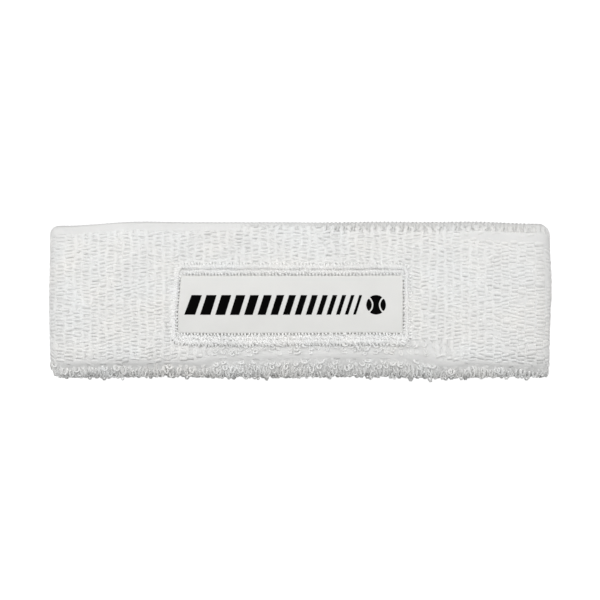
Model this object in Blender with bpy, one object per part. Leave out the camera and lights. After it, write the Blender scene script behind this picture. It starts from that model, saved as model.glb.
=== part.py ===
"""Sports headband: a terry tube folded double, its elastic threads, closing seam and sewn label.

The band lies flat, label up. X runs from side fold to side fold, Y across the band from its
folded edge to its seamed edge, and Z up. The origin is under the middle of the band, on the
surface that it lies on. All sizes are in metres.
"""

import math

import bmesh
import bpy

# Band, as it lies flat and relaxed.
BAND_LENGTH = 0.180  # from one side fold to the other
BAND_WIDTH = 0.055  # from the folded edge to the seamed edge
PANEL_GAP = 0.006  # between the front and the back wall, where the head goes
TERRY_THICKNESS = 0.0020  # one layer of terry, its pile pressed by a finger

# Threads inside the wall.
ELASTIC_DIAMETER = 0.0006
ELASTIC_COUNT = 12
SEAM_WIDTH = 0.0025  # the overlocked bead between the two terry edges, across the band
SEAM_DEPTH = 0.0008  # from the band's edge down to the bead

# Label, sewn on the front.
LABEL_LENGTH = 0.0857  # over the binding
LABEL_WIDTH = 0.0290
LABEL_CORNER = 0.0032
LABEL_SHIFT_X = -0.0034  # from the middle of the band
LABEL_SHIFT_Y = -0.0018
BINDING_SIDE = 0.0024  # width of the binding at the label's two ends
BINDING_LONG = 0.0040  # and along its two long sides
BINDING_THICKNESS = 0.0010
BINDING_LAP = 0.0012  # how far the binding covers the panel's edge
PANEL_THICKNESS = 0.0004
BACKING_THICKNESS = 0.0004
BACKING_INSET = 0.0008  # how far the backing stays inside the panel's edge
STITCH_DIAMETER = 0.0004

CLEARANCE = 0.0003  # between pieces that touch

# What follows from them.
CAVITY = ELASTIC_DIAMETER + 2 * CLEARANCE
SEAM_THICKNESS = CAVITY - 2 * CLEARANCE
WALL = 2 * TERRY_THICKNESS + CAVITY
BAND_HEIGHT = 2 * WALL + PANEL_GAP
MIDDLE = BAND_HEIGHT / 2
LABEL_STACK = BACKING_THICKNESS + PANEL_THICKNESS + 2 * CLEARANCE
BED_FLOOR = BAND_HEIGHT - LABEL_STACK

# Facets of round shapes.
SIDE_FOLD_STEPS = 14
FOLD_STEPS = 10
EDGE_STEPS = 6
CORNER_STEPS = 5


def clear_scene():
    """Removes whatever the file held, so that the script can be run again."""
    for found in list(bpy.data.objects):
        bpy.data.objects.remove(found)
    for found in list(bpy.data.collections):
        bpy.data.collections.remove(found)


def add_collection(name):
    collection = bpy.data.collections.new(name)
    bpy.context.scene.collection.children.link(collection)
    return collection


def make_material(name, colour, roughness, metallic=0.0):
    material = bpy.data.materials.new(name)
    material.use_nodes = True
    shader = material.node_tree.nodes["Principled BSDF"]
    shader.inputs["Base Color"].default_value = (*colour, 1.0)
    shader.inputs["Roughness"].default_value = roughness
    shader.inputs["Metallic"].default_value = metallic
    return material


def arc(centre_x, centre_y, radius, start, end, steps):
    """Points on a circle's arc, from angle start to angle end in degrees, both ends included."""
    points = []
    for step in range(steps + 1):
        angle = math.radians(start + (end - start) * step / steps)
        points.append((centre_x + radius * math.cos(angle), centre_y + radius * math.sin(angle)))
    return points


def stadium(length, height):
    """Outline of the loop seen along its axis: two straight runs joined by two half circles."""
    radius = height / 2
    end = length / 2 - radius
    right = arc(end, 0, radius, -90, 90, SIDE_FOLD_STEPS)
    left = arc(-end, 0, radius, 90, 270, SIDE_FOLD_STEPS)
    return right + left


def rounded_rectangle(length, width, corner):
    """Outline of a rectangle with round corners, about the origin."""
    x = length / 2 - corner
    y = width / 2 - corner
    points = arc(x, y, corner, 0, 90, CORNER_STEPS)
    points += arc(-x, y, corner, 90, 180, CORNER_STEPS)
    points += arc(-x, -y, corner, 180, 270, CORNER_STEPS)
    points += arc(x, -y, corner, 270, 360, CORNER_STEPS)
    return points


def terry_section():
    """The doubled wall's outline: out from its middle, and along the band's width.

    The folded edge is at the low end, and the two layers end side by side at the high one.
    """
    layer = TERRY_THICKNESS / 2
    layer_middle = CAVITY / 2 + layer
    top = BAND_WIDTH / 2 - layer
    fold = -BAND_WIDTH / 2 + WALL / 2
    outline = arc(layer_middle, top, layer, 180, 0, EDGE_STEPS)
    outline += arc(0, fold, WALL / 2, 0, -180, FOLD_STEPS)
    outline += arc(-layer_middle, top, layer, 180, 0, EDGE_STEPS)
    outline += arc(0, fold, CAVITY / 2, -180, 0, EDGE_STEPS)
    return outline


def flat_curve(name, outlines, fill):
    """A curve in its own XY plane, with one closed straight-edged outline for each list of points."""
    curve = bpy.data.curves.new(name, "CURVE")
    curve.dimensions = "2D"
    curve.fill_mode = fill
    for outline in outlines:
        spline = curve.splines.new("POLY")
        spline.points.add(len(outline) - 1)
        for point, (x, y) in zip(spline.points, outline):
            point.co = (x, y, 0, 1)
        spline.use_cyclic_u = True
    return curve


def add_object(name, data, collection, location=(0, 0, 0), rotation=(0, 0, 0)):
    added = bpy.data.objects.new(name, data)
    added.location = location
    added.rotation_euler = rotation
    collection.objects.link(added)
    return added


def add_helper(name, data, collection, location=(0, 0, 0)):
    """A cutter or a guide, which isn't a piece of the headband."""
    helper = add_object(name, data, collection, location)
    helper.hide_render = True
    helper.display_type = "WIRE"
    return helper


def loop_path(name):
    """The middle line of the wall, once round the loop."""
    return flat_curve(name, [stadium(BAND_LENGTH - WALL, BAND_HEIGHT - WALL)], "NONE")


def stand_up(name, curve, collection, y=0.0):
    """Places a curve so that its XY plane stands across the band, at this place along Y."""
    return add_object(name, curve, collection, (0, y, MIDDLE), (math.pi / 2, 0, 0))


def swept_round_loop(name, section, pieces, helpers, y=0.0):
    """Carries a closed outline once round the loop, as a curve with that outline as its bevel."""
    outline = [(out, -across) for out, across in section]
    guide = add_helper(name + "_section", flat_curve(name + "_section", [outline], "NONE"), helpers)
    path = loop_path(name)
    path.bevel_mode = "OBJECT"
    path.bevel_object = guide
    return stand_up(name, path, pieces, y)


def as_mesh(curve_object):
    """Replaces a curve object by a mesh object of the same name and place."""
    bpy.context.view_layer.update()
    evaluated = curve_object.evaluated_get(bpy.context.evaluated_depsgraph_get())
    mesh = bpy.data.meshes.new_from_object(evaluated)
    shape = bmesh.new()
    shape.from_mesh(mesh)
    bmesh.ops.remove_doubles(shape, verts=shape.verts, dist=1e-6)
    bmesh.ops.recalc_face_normals(shape, faces=shape.faces)
    shape.to_mesh(mesh)
    shape.free()
    name = curve_object.name
    place = curve_object.matrix_world.copy()
    collection = curve_object.users_collection[0]
    hidden = curve_object.hide_render
    bpy.data.objects.remove(curve_object)
    made = add_object(name, mesh, collection)
    made.matrix_world = place
    made.hide_render = hidden
    made.display_type = "WIRE" if hidden else "TEXTURED"
    mesh.name = name
    return made


def plate(name, outlines, thickness, low, collection):
    """A flat piece of the label, from its outlines, standing on height low."""
    curve = flat_curve(name, outlines, "BOTH")
    curve.extrude = thickness / 2
    return add_object(name, curve, collection, (LABEL_SHIFT_X, LABEL_SHIFT_Y, low + thickness / 2))


def label_outline(inset_x, inset_y):
    """The label's outer outline, drawn in from its ends and its long sides; negative is outwards."""
    inset = max(inset_x, inset_y)
    corner = max(LABEL_CORNER - inset, STITCH_DIAMETER)
    return rounded_rectangle(LABEL_LENGTH - 2 * inset_x, LABEL_WIDTH - 2 * inset_y, corner)


def add_terry_tube(pieces, helpers, material):
    """The knitted tube, doubled into a wall of two layers, with a bed pressed in for the label."""
    tube = as_mesh(swept_round_loop("terry_tube", terry_section(), pieces, helpers))
    tube.data.shade_smooth()
    tube.data.set_sharp_from_angle(angle=math.radians(40))
    tube.data.materials.append(material)
    inset_x = BINDING_SIDE - BINDING_LAP - CLEARANCE
    inset_y = BINDING_LONG - BINDING_LAP - CLEARANCE
    bed_outline = label_outline(inset_x, inset_y)
    bed = plate("label_bed", [bed_outline], 2 * LABEL_STACK, BED_FLOOR, helpers)
    bed.hide_render = True
    bed = as_mesh(bed)
    cut = tube.modifiers.new("label_bed", "BOOLEAN")
    cut.operation = "DIFFERENCE"
    cut.solver = "EXACT"
    cut.object = bed


def add_closing_seam(pieces, helpers, material):
    """The overlocked bead that holds the two terry edges together, all the way round."""
    half = SEAM_THICKNESS / 2
    high = BAND_WIDTH / 2 - SEAM_DEPTH - half
    low = high - SEAM_WIDTH + SEAM_THICKNESS
    section = arc(0, high, half, 180, 0, EDGE_STEPS) + arc(0, low, half, 0, -180, EDGE_STEPS)
    seam = as_mesh(swept_round_loop("closing_seam", section, pieces, helpers))
    seam.data.shade_smooth()
    seam.data.materials.append(material)


def add_elastic_threads(pieces, material):
    """Covered elastic threads, laid in rings between the two layers at equal steps across the band."""
    low = -BAND_WIDTH / 2 + WALL / 2
    seam_low = BAND_WIDTH / 2 - SEAM_DEPTH - SEAM_WIDTH
    high = seam_low - CLEARANCE - ELASTIC_DIAMETER / 2
    step = (high - low) / ELASTIC_COUNT
    thread = loop_path("elastic_thread")
    thread.bevel_depth = ELASTIC_DIAMETER / 2
    thread.bevel_resolution = 1
    thread.materials.append(material)
    for number in range(ELASTIC_COUNT):
        stand_up(f"elastic_thread_{number + 1:02d}", thread, pieces, low + step * (number + 0.5))


def add_label(pieces, backing_material, panel_material, binding_material):
    """The label's layers, from the backing in the bed up to the binding round its edge."""
    panel_x = BINDING_SIDE - BINDING_LAP
    panel_y = BINDING_LONG - BINDING_LAP
    backing_low = BED_FLOOR + CLEARANCE
    panel_low = backing_low + BACKING_THICKNESS + CLEARANCE
    binding_low = panel_low + PANEL_THICKNESS + CLEARANCE
    backing_outline = label_outline(panel_x + BACKING_INSET, panel_y + BACKING_INSET)
    panel_outline = label_outline(panel_x, panel_y)
    binding_outlines = [label_outline(0, 0), label_outline(BINDING_SIDE, BINDING_LONG)]
    backing = plate("label_backing", [backing_outline], BACKING_THICKNESS, backing_low, pieces)
    panel = plate("label_panel", [panel_outline], PANEL_THICKNESS, panel_low, pieces)
    binding = plate("label_binding", binding_outlines, BINDING_THICKNESS, binding_low, pieces)
    backing.data.materials.append(backing_material)
    panel.data.materials.append(panel_material)
    binding.data.materials.append(binding_material)


def add_stitch_row(name, inset_x, inset_y, pieces, material):
    """A row of sewing thread that follows the label's outline, lying on what it holds down."""
    curve = flat_curve(name, [label_outline(inset_x, inset_y)], "NONE")
    curve.bevel_depth = STITCH_DIAMETER / 2
    curve.bevel_resolution = 1
    curve.materials.append(material)
    height = BAND_HEIGHT + CLEARANCE + STITCH_DIAMETER / 2
    add_object(name, curve, pieces, (LABEL_SHIFT_X, LABEL_SHIFT_Y, height))


def build():
    clear_scene()
    pieces = add_collection("sports_headband")
    helpers = add_collection("cutters_and_guides")
    terry = make_material("white_cotton_terry", (0.80, 0.80, 0.79), 0.95)
    elastic = make_material("covered_elastic", (0.86, 0.86, 0.84), 0.60)
    satin = make_material("label_satin", (0.82, 0.82, 0.81), 0.55)
    backing = make_material("label_interfacing", (0.78, 0.78, 0.77), 0.90)
    thread = make_material("white_sewing_thread", (0.84, 0.84, 0.83), 0.65)
    add_terry_tube(pieces, helpers, terry)
    add_closing_seam(pieces, helpers, thread)
    add_elastic_threads(pieces, elastic)
    add_label(pieces, backing, satin, thread)
    away = CLEARANCE + STITCH_DIAMETER / 2
    add_stitch_row("label_stitch_outer", -away, -away, pieces, thread)
    add_stitch_row("label_stitch_inner", BINDING_SIDE + away, BINDING_LONG + away, pieces, thread)


build()
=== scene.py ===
"""Looks of the sports headband: yarn, seam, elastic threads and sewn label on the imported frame.

Everything is in metres in the frame of the CAD: X from side fold to side fold, Y across the
band from its folded edge to its seamed edge, Z up. Each stitch is first placed on the band's
two surface coordinates, around the loop and along the doubled wall, and then settled with it.
"""

from __future__ import annotations

import logging
import math
from dataclasses import dataclass, field
from enum import Enum

import bpy
import numpy as np
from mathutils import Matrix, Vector


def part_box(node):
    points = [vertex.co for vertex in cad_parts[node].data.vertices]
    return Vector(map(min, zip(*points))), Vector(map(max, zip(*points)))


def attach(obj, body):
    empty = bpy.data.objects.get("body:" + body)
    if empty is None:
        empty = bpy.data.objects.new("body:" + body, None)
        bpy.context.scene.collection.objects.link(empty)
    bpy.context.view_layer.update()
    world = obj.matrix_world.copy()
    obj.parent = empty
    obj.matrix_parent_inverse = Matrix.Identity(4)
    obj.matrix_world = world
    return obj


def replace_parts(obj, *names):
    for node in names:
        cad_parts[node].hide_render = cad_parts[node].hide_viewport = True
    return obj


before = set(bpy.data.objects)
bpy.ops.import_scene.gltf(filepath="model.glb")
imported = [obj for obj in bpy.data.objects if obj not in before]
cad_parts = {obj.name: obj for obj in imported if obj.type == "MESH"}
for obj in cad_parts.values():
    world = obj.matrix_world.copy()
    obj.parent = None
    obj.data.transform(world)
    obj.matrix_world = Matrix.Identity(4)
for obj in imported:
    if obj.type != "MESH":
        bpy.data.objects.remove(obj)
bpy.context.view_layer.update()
log = logging.getLogger("headband")

MM = 0.001
STEP = 0.1 * MM  # how far beside a path its side direction is measured
BODY = "root"


class Slot(Enum):
    """The record's material slots."""

    TERRY = "terry"
    THREAD = "sewing_thread"
    ELASTIC = "elastic"
    BACKING = "label_backing"
    FACE = "label_face"
    BINDING = "label_binding"


# ---------------------------------------------------------------------------------- numbers


def soft_noise(x: np.ndarray, y: np.ndarray, scale: float, seed: int) -> np.ndarray:
    """Smooth random field of about -1 to 1: the scaled mean of twelve plane sine waves.

    Args:
        x: first coordinate of each point, in metres.
        y: second coordinate of each point, in metres.
        scale: mean wavelength, in metres.
        seed: picks the waves' directions and phases.

    Returns:
        One value for each point.
    """
    draw = np.random.default_rng(seed)
    heading = draw.uniform(0.0, 2.0 * math.pi, 12)
    turns = draw.uniform(0.6, 1.5, 12) / scale
    phase = draw.uniform(0.0, 2.0 * math.pi, 12)
    across = x[..., None] * np.cos(heading) + y[..., None] * np.sin(heading)
    return np.sin(2.0 * math.pi * turns * across + phase).mean(-1) * 2.2


def ramp(low: float, high: float, value: np.ndarray) -> np.ndarray:
    """Smooth step: 0 below low, 1 above high, 3t^2 - 2t^3 between; low may be the greater.

    Args:
        low: where the step begins.
        high: where it ends.
        value: what is compared with them.

    Returns:
        The step's share at each value.
    """
    t = np.clip((value - low) / (high - low), 0.0, 1.0)
    return t * t * (3.0 - 2.0 * t)


def mix(first: np.ndarray, second: np.ndarray, share: np.ndarray) -> np.ndarray:
    """first where share is 0 and second where it is 1."""
    return first + (second - first) * share


def normal_draws(seed: int, *shape: int) -> np.ndarray:
    """Normal draws of this shape, cut off at 2 either side."""
    return np.random.default_rng(seed).normal(0.0, 1.0, shape).clip(-2.0, 2.0)


def unit(vectors: np.ndarray) -> np.ndarray:
    """The vectors at length one."""
    return vectors / np.maximum(np.linalg.norm(vectors, axis=-1, keepdims=True), 1e-12)


# ---------------------------------------------------------------------------------- meshes


@dataclass
class Surface:
    """Points, groups of faces with equal corner counts, and UV maps laid out like the faces."""

    points: np.ndarray
    faces: list[np.ndarray]
    maps: dict[str, list[np.ndarray]] = field(default_factory=dict)

    def add_to(self, name: str) -> bpy.types.Object:
        """Makes a smooth-shaded mesh object of the surface.

        Args:
            name: the object's name.

        Returns:
            The new object, at the origin.
        """
        mesh = bpy.data.meshes.new(name)
        corners = np.concatenate([group.ravel() for group in self.faces])
        sizes = np.concatenate([np.full(len(group), group.shape[1]) for group in self.faces])
        starts = np.concatenate([[0], np.cumsum(sizes)[:-1]])
        mesh.vertices.add(len(self.points))
        mesh.vertices.foreach_set("co", self.points.astype(np.float32).ravel())
        mesh.loops.add(len(corners))
        mesh.loops.foreach_set("vertex_index", corners.astype(np.int32))
        mesh.polygons.add(len(sizes))
        mesh.polygons.foreach_set("loop_start", starts.astype(np.int32))
        mesh.update(calc_edges=True)
        for title, groups in self.maps.items():
            layer = mesh.uv_layers.new(name=title, do_init=False)
            places = np.concatenate([group.reshape(-1, 2) for group in groups])
            layer.uv.foreach_set("vector", places.astype(np.float32).ravel())
        mesh.shade_smooth()
        made = bpy.data.objects.new(name, mesh)
        bpy.context.scene.collection.objects.link(made)
        return made


def joined(parts: list[Surface]) -> Surface:
    """Several surfaces with the same UV maps as one.

    Args:
        parts: the surfaces.

    Returns:
        One surface that holds them all.
    """
    starts = np.cumsum([0] + [len(part.points) for part in parts])
    faces = [group + start for part, start in zip(parts, starts) for group in part.faces]
    maps = {key: [g for part in parts for g in part.maps[key]] for key in parts[0].maps}
    return Surface(np.concatenate([part.points for part in parts]), faces, maps)


def strands(
    paths: np.ndarray,
    radius: np.ndarray,
    side: np.ndarray,
    sides: int = 6,
    closed: bool = False,
    columns: int = 0,
    flatten: float | np.ndarray = 1.0,
    sheet: tuple[float, float] = (0.0, 1.0),
) -> Surface:
    """Round strands along many paths at once, as closed tubes.

    A ring stands at each path point, square to the path: centre + radius * (cos a * side +
    sin a * up), where up is the path's direction crossed with side. Open strands end in a
    flat cap, and closed ones join up with themselves.

    Args:
        paths: points of each path, (strands, points, 3).
        radius: the strand's radius at each point, (strands, points).
        side: a direction roughly square to the path at each point, (strands, points, 3).
        sides: corners of the ring.
        closed: joins each path's last point to its first.
        columns: strands beside each other on the bake map, or 0 for a square layout.
        flatten: the ring's size along up, as a share of its size along side, one number or one
            for each strand.
        sheet: the stretch of the bake map's height that these strands take.

    Returns:
        The strands, with a "yarn" map (turns round the strand, metres along it) and a bake map.
    """
    count, steps, _ = paths.shape
    if closed:
        ahead = np.roll(paths, -1, 1) - np.roll(paths, 1, 1)
        gone = np.linalg.norm(np.roll(paths, -1, 1) - paths, axis=-1)
    else:
        ahead = np.gradient(paths, axis=1)
        gone = np.linalg.norm(np.diff(paths, axis=1), axis=-1)
    tangent = unit(ahead)
    side = unit(side - (side * tangent).sum(-1, keepdims=True) * tangent)
    up = np.cross(tangent, side)
    angle = 2.0 * math.pi * np.arange(sides) / sides
    height = np.reshape(flatten, (-1, 1, 1, 1)) * np.sin(angle)[:, None]
    spoke = np.cos(angle)[:, None] * side[:, :, None, :] + height * up[:, :, None, :]
    points = paths[:, :, None, :] + radius[:, :, None, None] * spoke
    index = np.arange(count * steps * sides).reshape(count, steps, sides)
    after = np.roll(index, -1, 2)
    if closed:
        low, high = (index, after), (np.roll(index, -1, 1), np.roll(after, -1, 1))
    else:
        low, high = (index[:, :-1], after[:, :-1]), (index[:, 1:], after[:, 1:])
    quads = np.stack([low[0], low[1], high[1], high[0]], -1)
    bands = quads.shape[1]

    along = np.concatenate([np.zeros((count, 1)), np.cumsum(gone, 1)], 1)[:, : bands + 1]
    turn = np.arange(sides + 1) / sides
    yarn = np.empty((count, bands, sides, 4, 2))
    yarn[..., 0] = np.stack([turn[:-1], turn[1:], turn[1:], turn[:-1]], -1)
    yarn[..., 0:2, 1] = along[:, :-1, None, None]
    yarn[..., 2:4, 1] = along[:, 1:, None, None]

    columns = columns or math.ceil(math.sqrt(count))
    rows = math.ceil(count / columns)
    cell = np.stack([np.arange(count) % columns, np.arange(count) // columns], -1)
    share = np.linspace(0.0, 1.0, bands + 1)
    inside = np.empty((count, bands, sides, 4, 2))
    inside[..., 0:2, 0] = share[:-1, None, None]
    inside[..., 2:4, 0] = share[1:, None, None]
    inside[..., 1] = yarn[..., 0]
    inside = [0.03, 0.08] + inside * [0.90, 0.84]

    def on_sheet(place: np.ndarray) -> np.ndarray:
        """Takes places in each strand's own cell to places on the bake map.

        Args:
            place: places of 0 to 1 in each strand's cell.

        Returns:
            The same places on the map.
        """
        where = cell.reshape((count,) + (1,) * (place.ndim - 2) + (2,))
        spread = (where + place) / [columns, rows]
        return np.stack([spread[..., 0], sheet[0] + (sheet[1] - sheet[0]) * spread[..., 1]], -1)

    faces = [quads.reshape(-1, 4)]
    maps = {"yarn": [yarn.reshape(-1, 4, 2)], "OFBake": [on_sheet(inside).reshape(-1, 4, 2)]}
    if not closed:
        circle = np.stack([np.cos(angle), np.sin(angle)], -1)
        for ring, step, height in ((index[:, 0, ::-1], 0, 0.3), (index[:, -1], -1, 0.7)):
            faces.append(ring)
            flat = np.zeros((count, sides, 2))
            flat[..., 0] = 0.5 + 0.5 * circle[:, 0]
            flat[..., 1] = along[:, step, None] + radius[:, step, None] * circle[:, 1]
            maps["yarn"].append(flat)
            spot = np.broadcast_to([0.965, height] + circle * [0.02, 0.12], (count, sides, 2))
            maps["OFBake"].append(on_sheet(spot))
    return Surface(points.reshape(-1, 3), faces, maps)


def wrapped_grid(points: np.ndarray, places: np.ndarray) -> Surface:
    """A closed surface on a grid whose rows and columns both join up with themselves.

    Args:
        points: (rows, columns, 3), with the columns turning counter-clockwise round each row.
        places: (rows + 1, columns + 1, 2), the weave map's value at each grid point.

    Returns:
        The surface, with a "weave" map and a bake map that is the whole grid.
    """
    rows, columns, _ = points.shape
    index = np.arange(rows * columns).reshape(rows, columns)
    ahead, beside = np.roll(index, -1, 0), np.roll(index, -1, 1)
    both = np.roll(ahead, -1, 1)
    quads = np.stack([index, beside, both, ahead], -1).reshape(-1, 4)

    def at_corners(values: np.ndarray) -> np.ndarray:
        """The values at each quad's four corners."""
        around = (values[:-1, :-1], values[:-1, 1:], values[1:, 1:], values[1:, :-1])
        return np.stack(around, 2).reshape(-1, 4, 2)

    whole = np.stack(
        np.meshgrid(np.linspace(0.002, 0.998, rows + 1), np.linspace(0.002, 0.998, columns + 1)), -1
    ).transpose(1, 0, 2)
    maps = {"weave": [at_corners(places)], "OFBake": [at_corners(whole)]}
    return Surface(points.reshape(-1, 3), [quads], maps)


def slab(top: np.ndarray, bottom: np.ndarray) -> Surface:
    """A closed plate between two grids of the same shape, with square sides.

    Args:
        top: (rows, columns, 3), rows running along +Y and columns along +X.
        bottom: the same grid on the plate's other side.

    Returns:
        The plate, with a "weave" map in metres across it and a bake map.
    """
    rows, columns, _ = top.shape
    index = np.arange(rows * columns).reshape(rows, columns)
    under = index + rows * columns

    def cells(grid: np.ndarray) -> np.ndarray:
        """The grid's quads, counter-clockwise seen from above."""
        corners = (grid[:-1, :-1], grid[:-1, 1:], grid[1:, 1:], grid[1:, :-1])
        return np.stack(corners, -1).reshape(-1, 4)

    rim = np.concatenate([index[0, :-1], index[:-1, -1], index[-1, :0:-1], index[:0:-1, 0]])
    rim_after = np.roll(rim, -1)
    sides = np.stack([rim + rows * columns, rim_after + rows * columns, rim_after, rim], -1)
    points = np.concatenate([top.reshape(-1, 3), bottom.reshape(-1, 3)])
    faces = [cells(index), cells(under)[:, ::-1], sides]
    low, span = points.min(0), np.ptp(points, 0).max()
    weave = [points[group][..., :2] for group in faces]
    shift = ([0.01, 0.51], [0.01, 0.01], [0.01, 0.90])
    bake = [
        (points[group][..., :2] - low[:2]) / span * 0.97 + move
        for group, move in zip(faces, shift)
    ]
    bake[2][..., 1] = 0.97 + 0.02 * (faces[2] < rows * columns)
    return Surface(points, faces, {"weave": weave, "OFBake": bake})


# ---------------------------------------------------------------------------------- finishes


@dataclass(frozen=True)
class Value:
    """A shader number as a socket or a constant, which takes Python arithmetic."""

    graph: "Graph"
    source: bpy.types.NodeSocket | float

    def _math(self, operation: str, *others: "Value | float") -> "Value":
        """The Math node's operation on this value and the others.

        Args:
            operation: the Math node's name for it.
            others: its second operand, where it has one.

        Returns:
            The node's result.
        """
        inputs = dict(enumerate((self, *others)))
        return self.graph.value(self.graph.node("ShaderNodeMath", {"operation": operation}, inputs), 0)

    def __add__(self, other: "Value | float") -> "Value":
        """self + other."""
        return self._math("ADD", other)

    def __sub__(self, other: "Value | float") -> "Value":
        """self - other."""
        return self._math("SUBTRACT", other)

    def __mul__(self, other: "Value | float") -> "Value":
        """self * other."""
        return self._math("MULTIPLY", other)

    def sine(self) -> "Value":
        """The sine of this value, in radians."""
        return self._math("SINE")

    def size(self) -> "Value":
        """The value without its sign."""
        return self._math("ABSOLUTE")

    def fraction(self) -> "Value":
        """What is left of the value after its whole part."""
        return self._math("FRACT")

    def above(self, edge: float, softness: float) -> "Value":
        """0 well below the edge and 1 well above it, over a span of softness.

        Args:
            edge: the middle of the step.
            softness: the step's whole width.

        Returns:
            A value of 0 to 1.
        """
        settings = {"interpolation_type": "SMOOTHSTEP"}
        inputs = {"Value": self, "From Min": edge - softness / 2, "From Max": edge + softness / 2}
        return self.graph.value(self.graph.node("ShaderNodeMapRange", settings, inputs), "Result")


class Graph:
    """A material's node tree, with its Principled shader."""

    def __init__(self, name: str) -> None:
        """Starts a material of this name.

        Args:
            name: the material's name.
        """
        self.material = bpy.data.materials.new(name)
        self.material.use_nodes = True
        self.tree = self.material.node_tree
        self.shader = self.tree.nodes["Principled BSDF"]

    def node(self, kind: str, settings: dict, inputs: dict) -> bpy.types.Node:
        """Adds a node.

        Args:
            kind: the node's type name.
            settings: the node's own properties, set first.
            inputs: a constant, a Value or a socket for each input, by name or number.

        Returns:
            The node.
        """
        made = self.tree.nodes.new(kind)
        for key, setting in settings.items():
            setattr(made, key, setting)
        for key, given in inputs.items():
            self.feed(made.inputs[key], given)
        return made

    def feed(self, socket: bpy.types.NodeSocket, given: object) -> None:
        """Sets a socket to a constant, or links a Value or another socket to it.

        Args:
            socket: the input.
            given: a constant, a Value or another node's socket.
        """
        source = given.source if isinstance(given, Value) else given
        if isinstance(source, bpy.types.NodeSocket):
            self.tree.links.new(source, socket)
        else:
            socket.default_value = source

    def value(self, node: bpy.types.Node, output: str | int) -> Value:
        """One of a node's outputs as a Value."""
        return Value(self, node.outputs[output])

    def place(self) -> bpy.types.NodeSocket:
        """The point's place on the object, in metres."""
        return self.node("ShaderNodeTexCoord", {}, {}).outputs["Object"]

    def map(self, title: str) -> tuple[Value, Value, bpy.types.NodeSocket]:
        """The named UV map's two numbers, and both as one vector.

        Args:
            title: the UV map's name.

        Returns:
            Its first number, its second, and the vector.
        """
        uv = self.node("ShaderNodeUVMap", {"uv_map": title}, {}).outputs["UV"]
        parts = self.node("ShaderNodeSeparateXYZ", {}, {"Vector": uv})
        return self.value(parts, "X"), self.value(parts, "Y"), uv

    def noise(self, at: object, scale: float, detail: float = 2.0) -> Value:
        """Noise of 0 to 1 at these places, with this many cells to the metre."""
        inputs = {"Vector": at, "Scale": scale, "Detail": detail}
        return self.value(self.node("ShaderNodeTexNoise", {}, inputs), "Fac")

    def vector(self, x: object, y: object, z: object = 0.0) -> bpy.types.NodeSocket:
        """Three numbers as a vector."""
        return self.node("ShaderNodeCombineXYZ", {}, {"X": x, "Y": y, "Z": z}).outputs["Vector"]

    def blend(self, share: object, first: object, second: object) -> bpy.types.NodeSocket:
        """The first colour where share is 0 and the second where it is 1."""
        inputs = {"Factor": share, 6: first, 7: second}
        return self.node("ShaderNodeMix", {"data_type": "RGBA"}, inputs).outputs[2]

    def bump(self, height: Value, strength: float, distance: float) -> None:
        """Feeds a height of 0 to 1, this many metres tall, to the shader's normal."""
        inputs = {"Height": height, "Strength": strength, "Distance": distance}
        self.dress({"Normal": self.node("ShaderNodeBump", {}, inputs).outputs["Normal"]})

    def dress(self, inputs: dict) -> None:
        """Feeds each named input of the shader."""
        for name, given in inputs.items():
            self.feed(self.shader.inputs[name], given)


Colour = tuple[float, float, float, float]
WHITE: Colour = (1.0, 1.0, 1.0, 1.0)


def grey(tone: float, blue: float) -> Colour:
    """A colour whose red and green are equal."""
    return (tone, tone, blue, 1.0)


@dataclass(frozen=True)
class YarnFinish:
    """Spun or filament yarn: fibres that wind round the strand, and soft mottling over the band."""

    title: str
    light: Colour
    shade: Colour
    roughness: float = 0.92
    sheen: float = 0.25
    specular: float = 0.25
    twist: float = 1.4 * MM
    plies: float = 2.0
    ply_depth: float = 0.05 * MM
    fibre_depth: float = 0.05 * MM
    tint: float = 0.012

    def tinted(self, warmth: float) -> Colour:
        """The light colour, redder and less blue by this much."""
        red, green, blue, _ = self.light
        return (red * (1.0 + warmth), green, blue * (1.0 - warmth), 1.0)

    def material(self) -> bpy.types.Material:
        """Builds the material.

        The ply height is sin(2 pi (plies * turn + metres / twist)), and the fibre height is
        noise stretched along the same winding.

        Returns:
            The finished material.
        """
        graph = Graph(self.title)
        turn, along, _ = graph.map("yarn")
        wound = turn * self.plies + along * (1.0 / self.twist)
        ply = (wound * (2.0 * math.pi)).sine() * 0.5 + 0.5
        fibre = graph.noise(graph.vector(wound * 7.0, along * 350.0, turn), 1.0, 3.0)
        share = self.ply_depth / (self.ply_depth + self.fibre_depth)
        graph.bump(ply * share + fibre * (1.0 - share), 0.8, self.ply_depth + self.fibre_depth)
        patches = graph.noise(graph.place(), 110.0, 2.0)
        specks = graph.noise(graph.place(), 2600.0, 2.0)
        tone = (patches * 0.5 + specks * 0.5).above(0.5, 0.4)
        tint = graph.noise(graph.place(), 65.0, 1.0).above(0.5, 0.35)
        light = graph.blend(tint, self.tinted(self.tint), self.tinted(-self.tint))
        graph.dress({
            "Base Color": graph.blend(tone, self.shade, light),
            "Roughness": self.roughness,
            "Sheen Weight": self.sheen,
            "Sheen Roughness": 0.5,
            "Specular IOR Level": self.specular,
        })
        return graph.material


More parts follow.
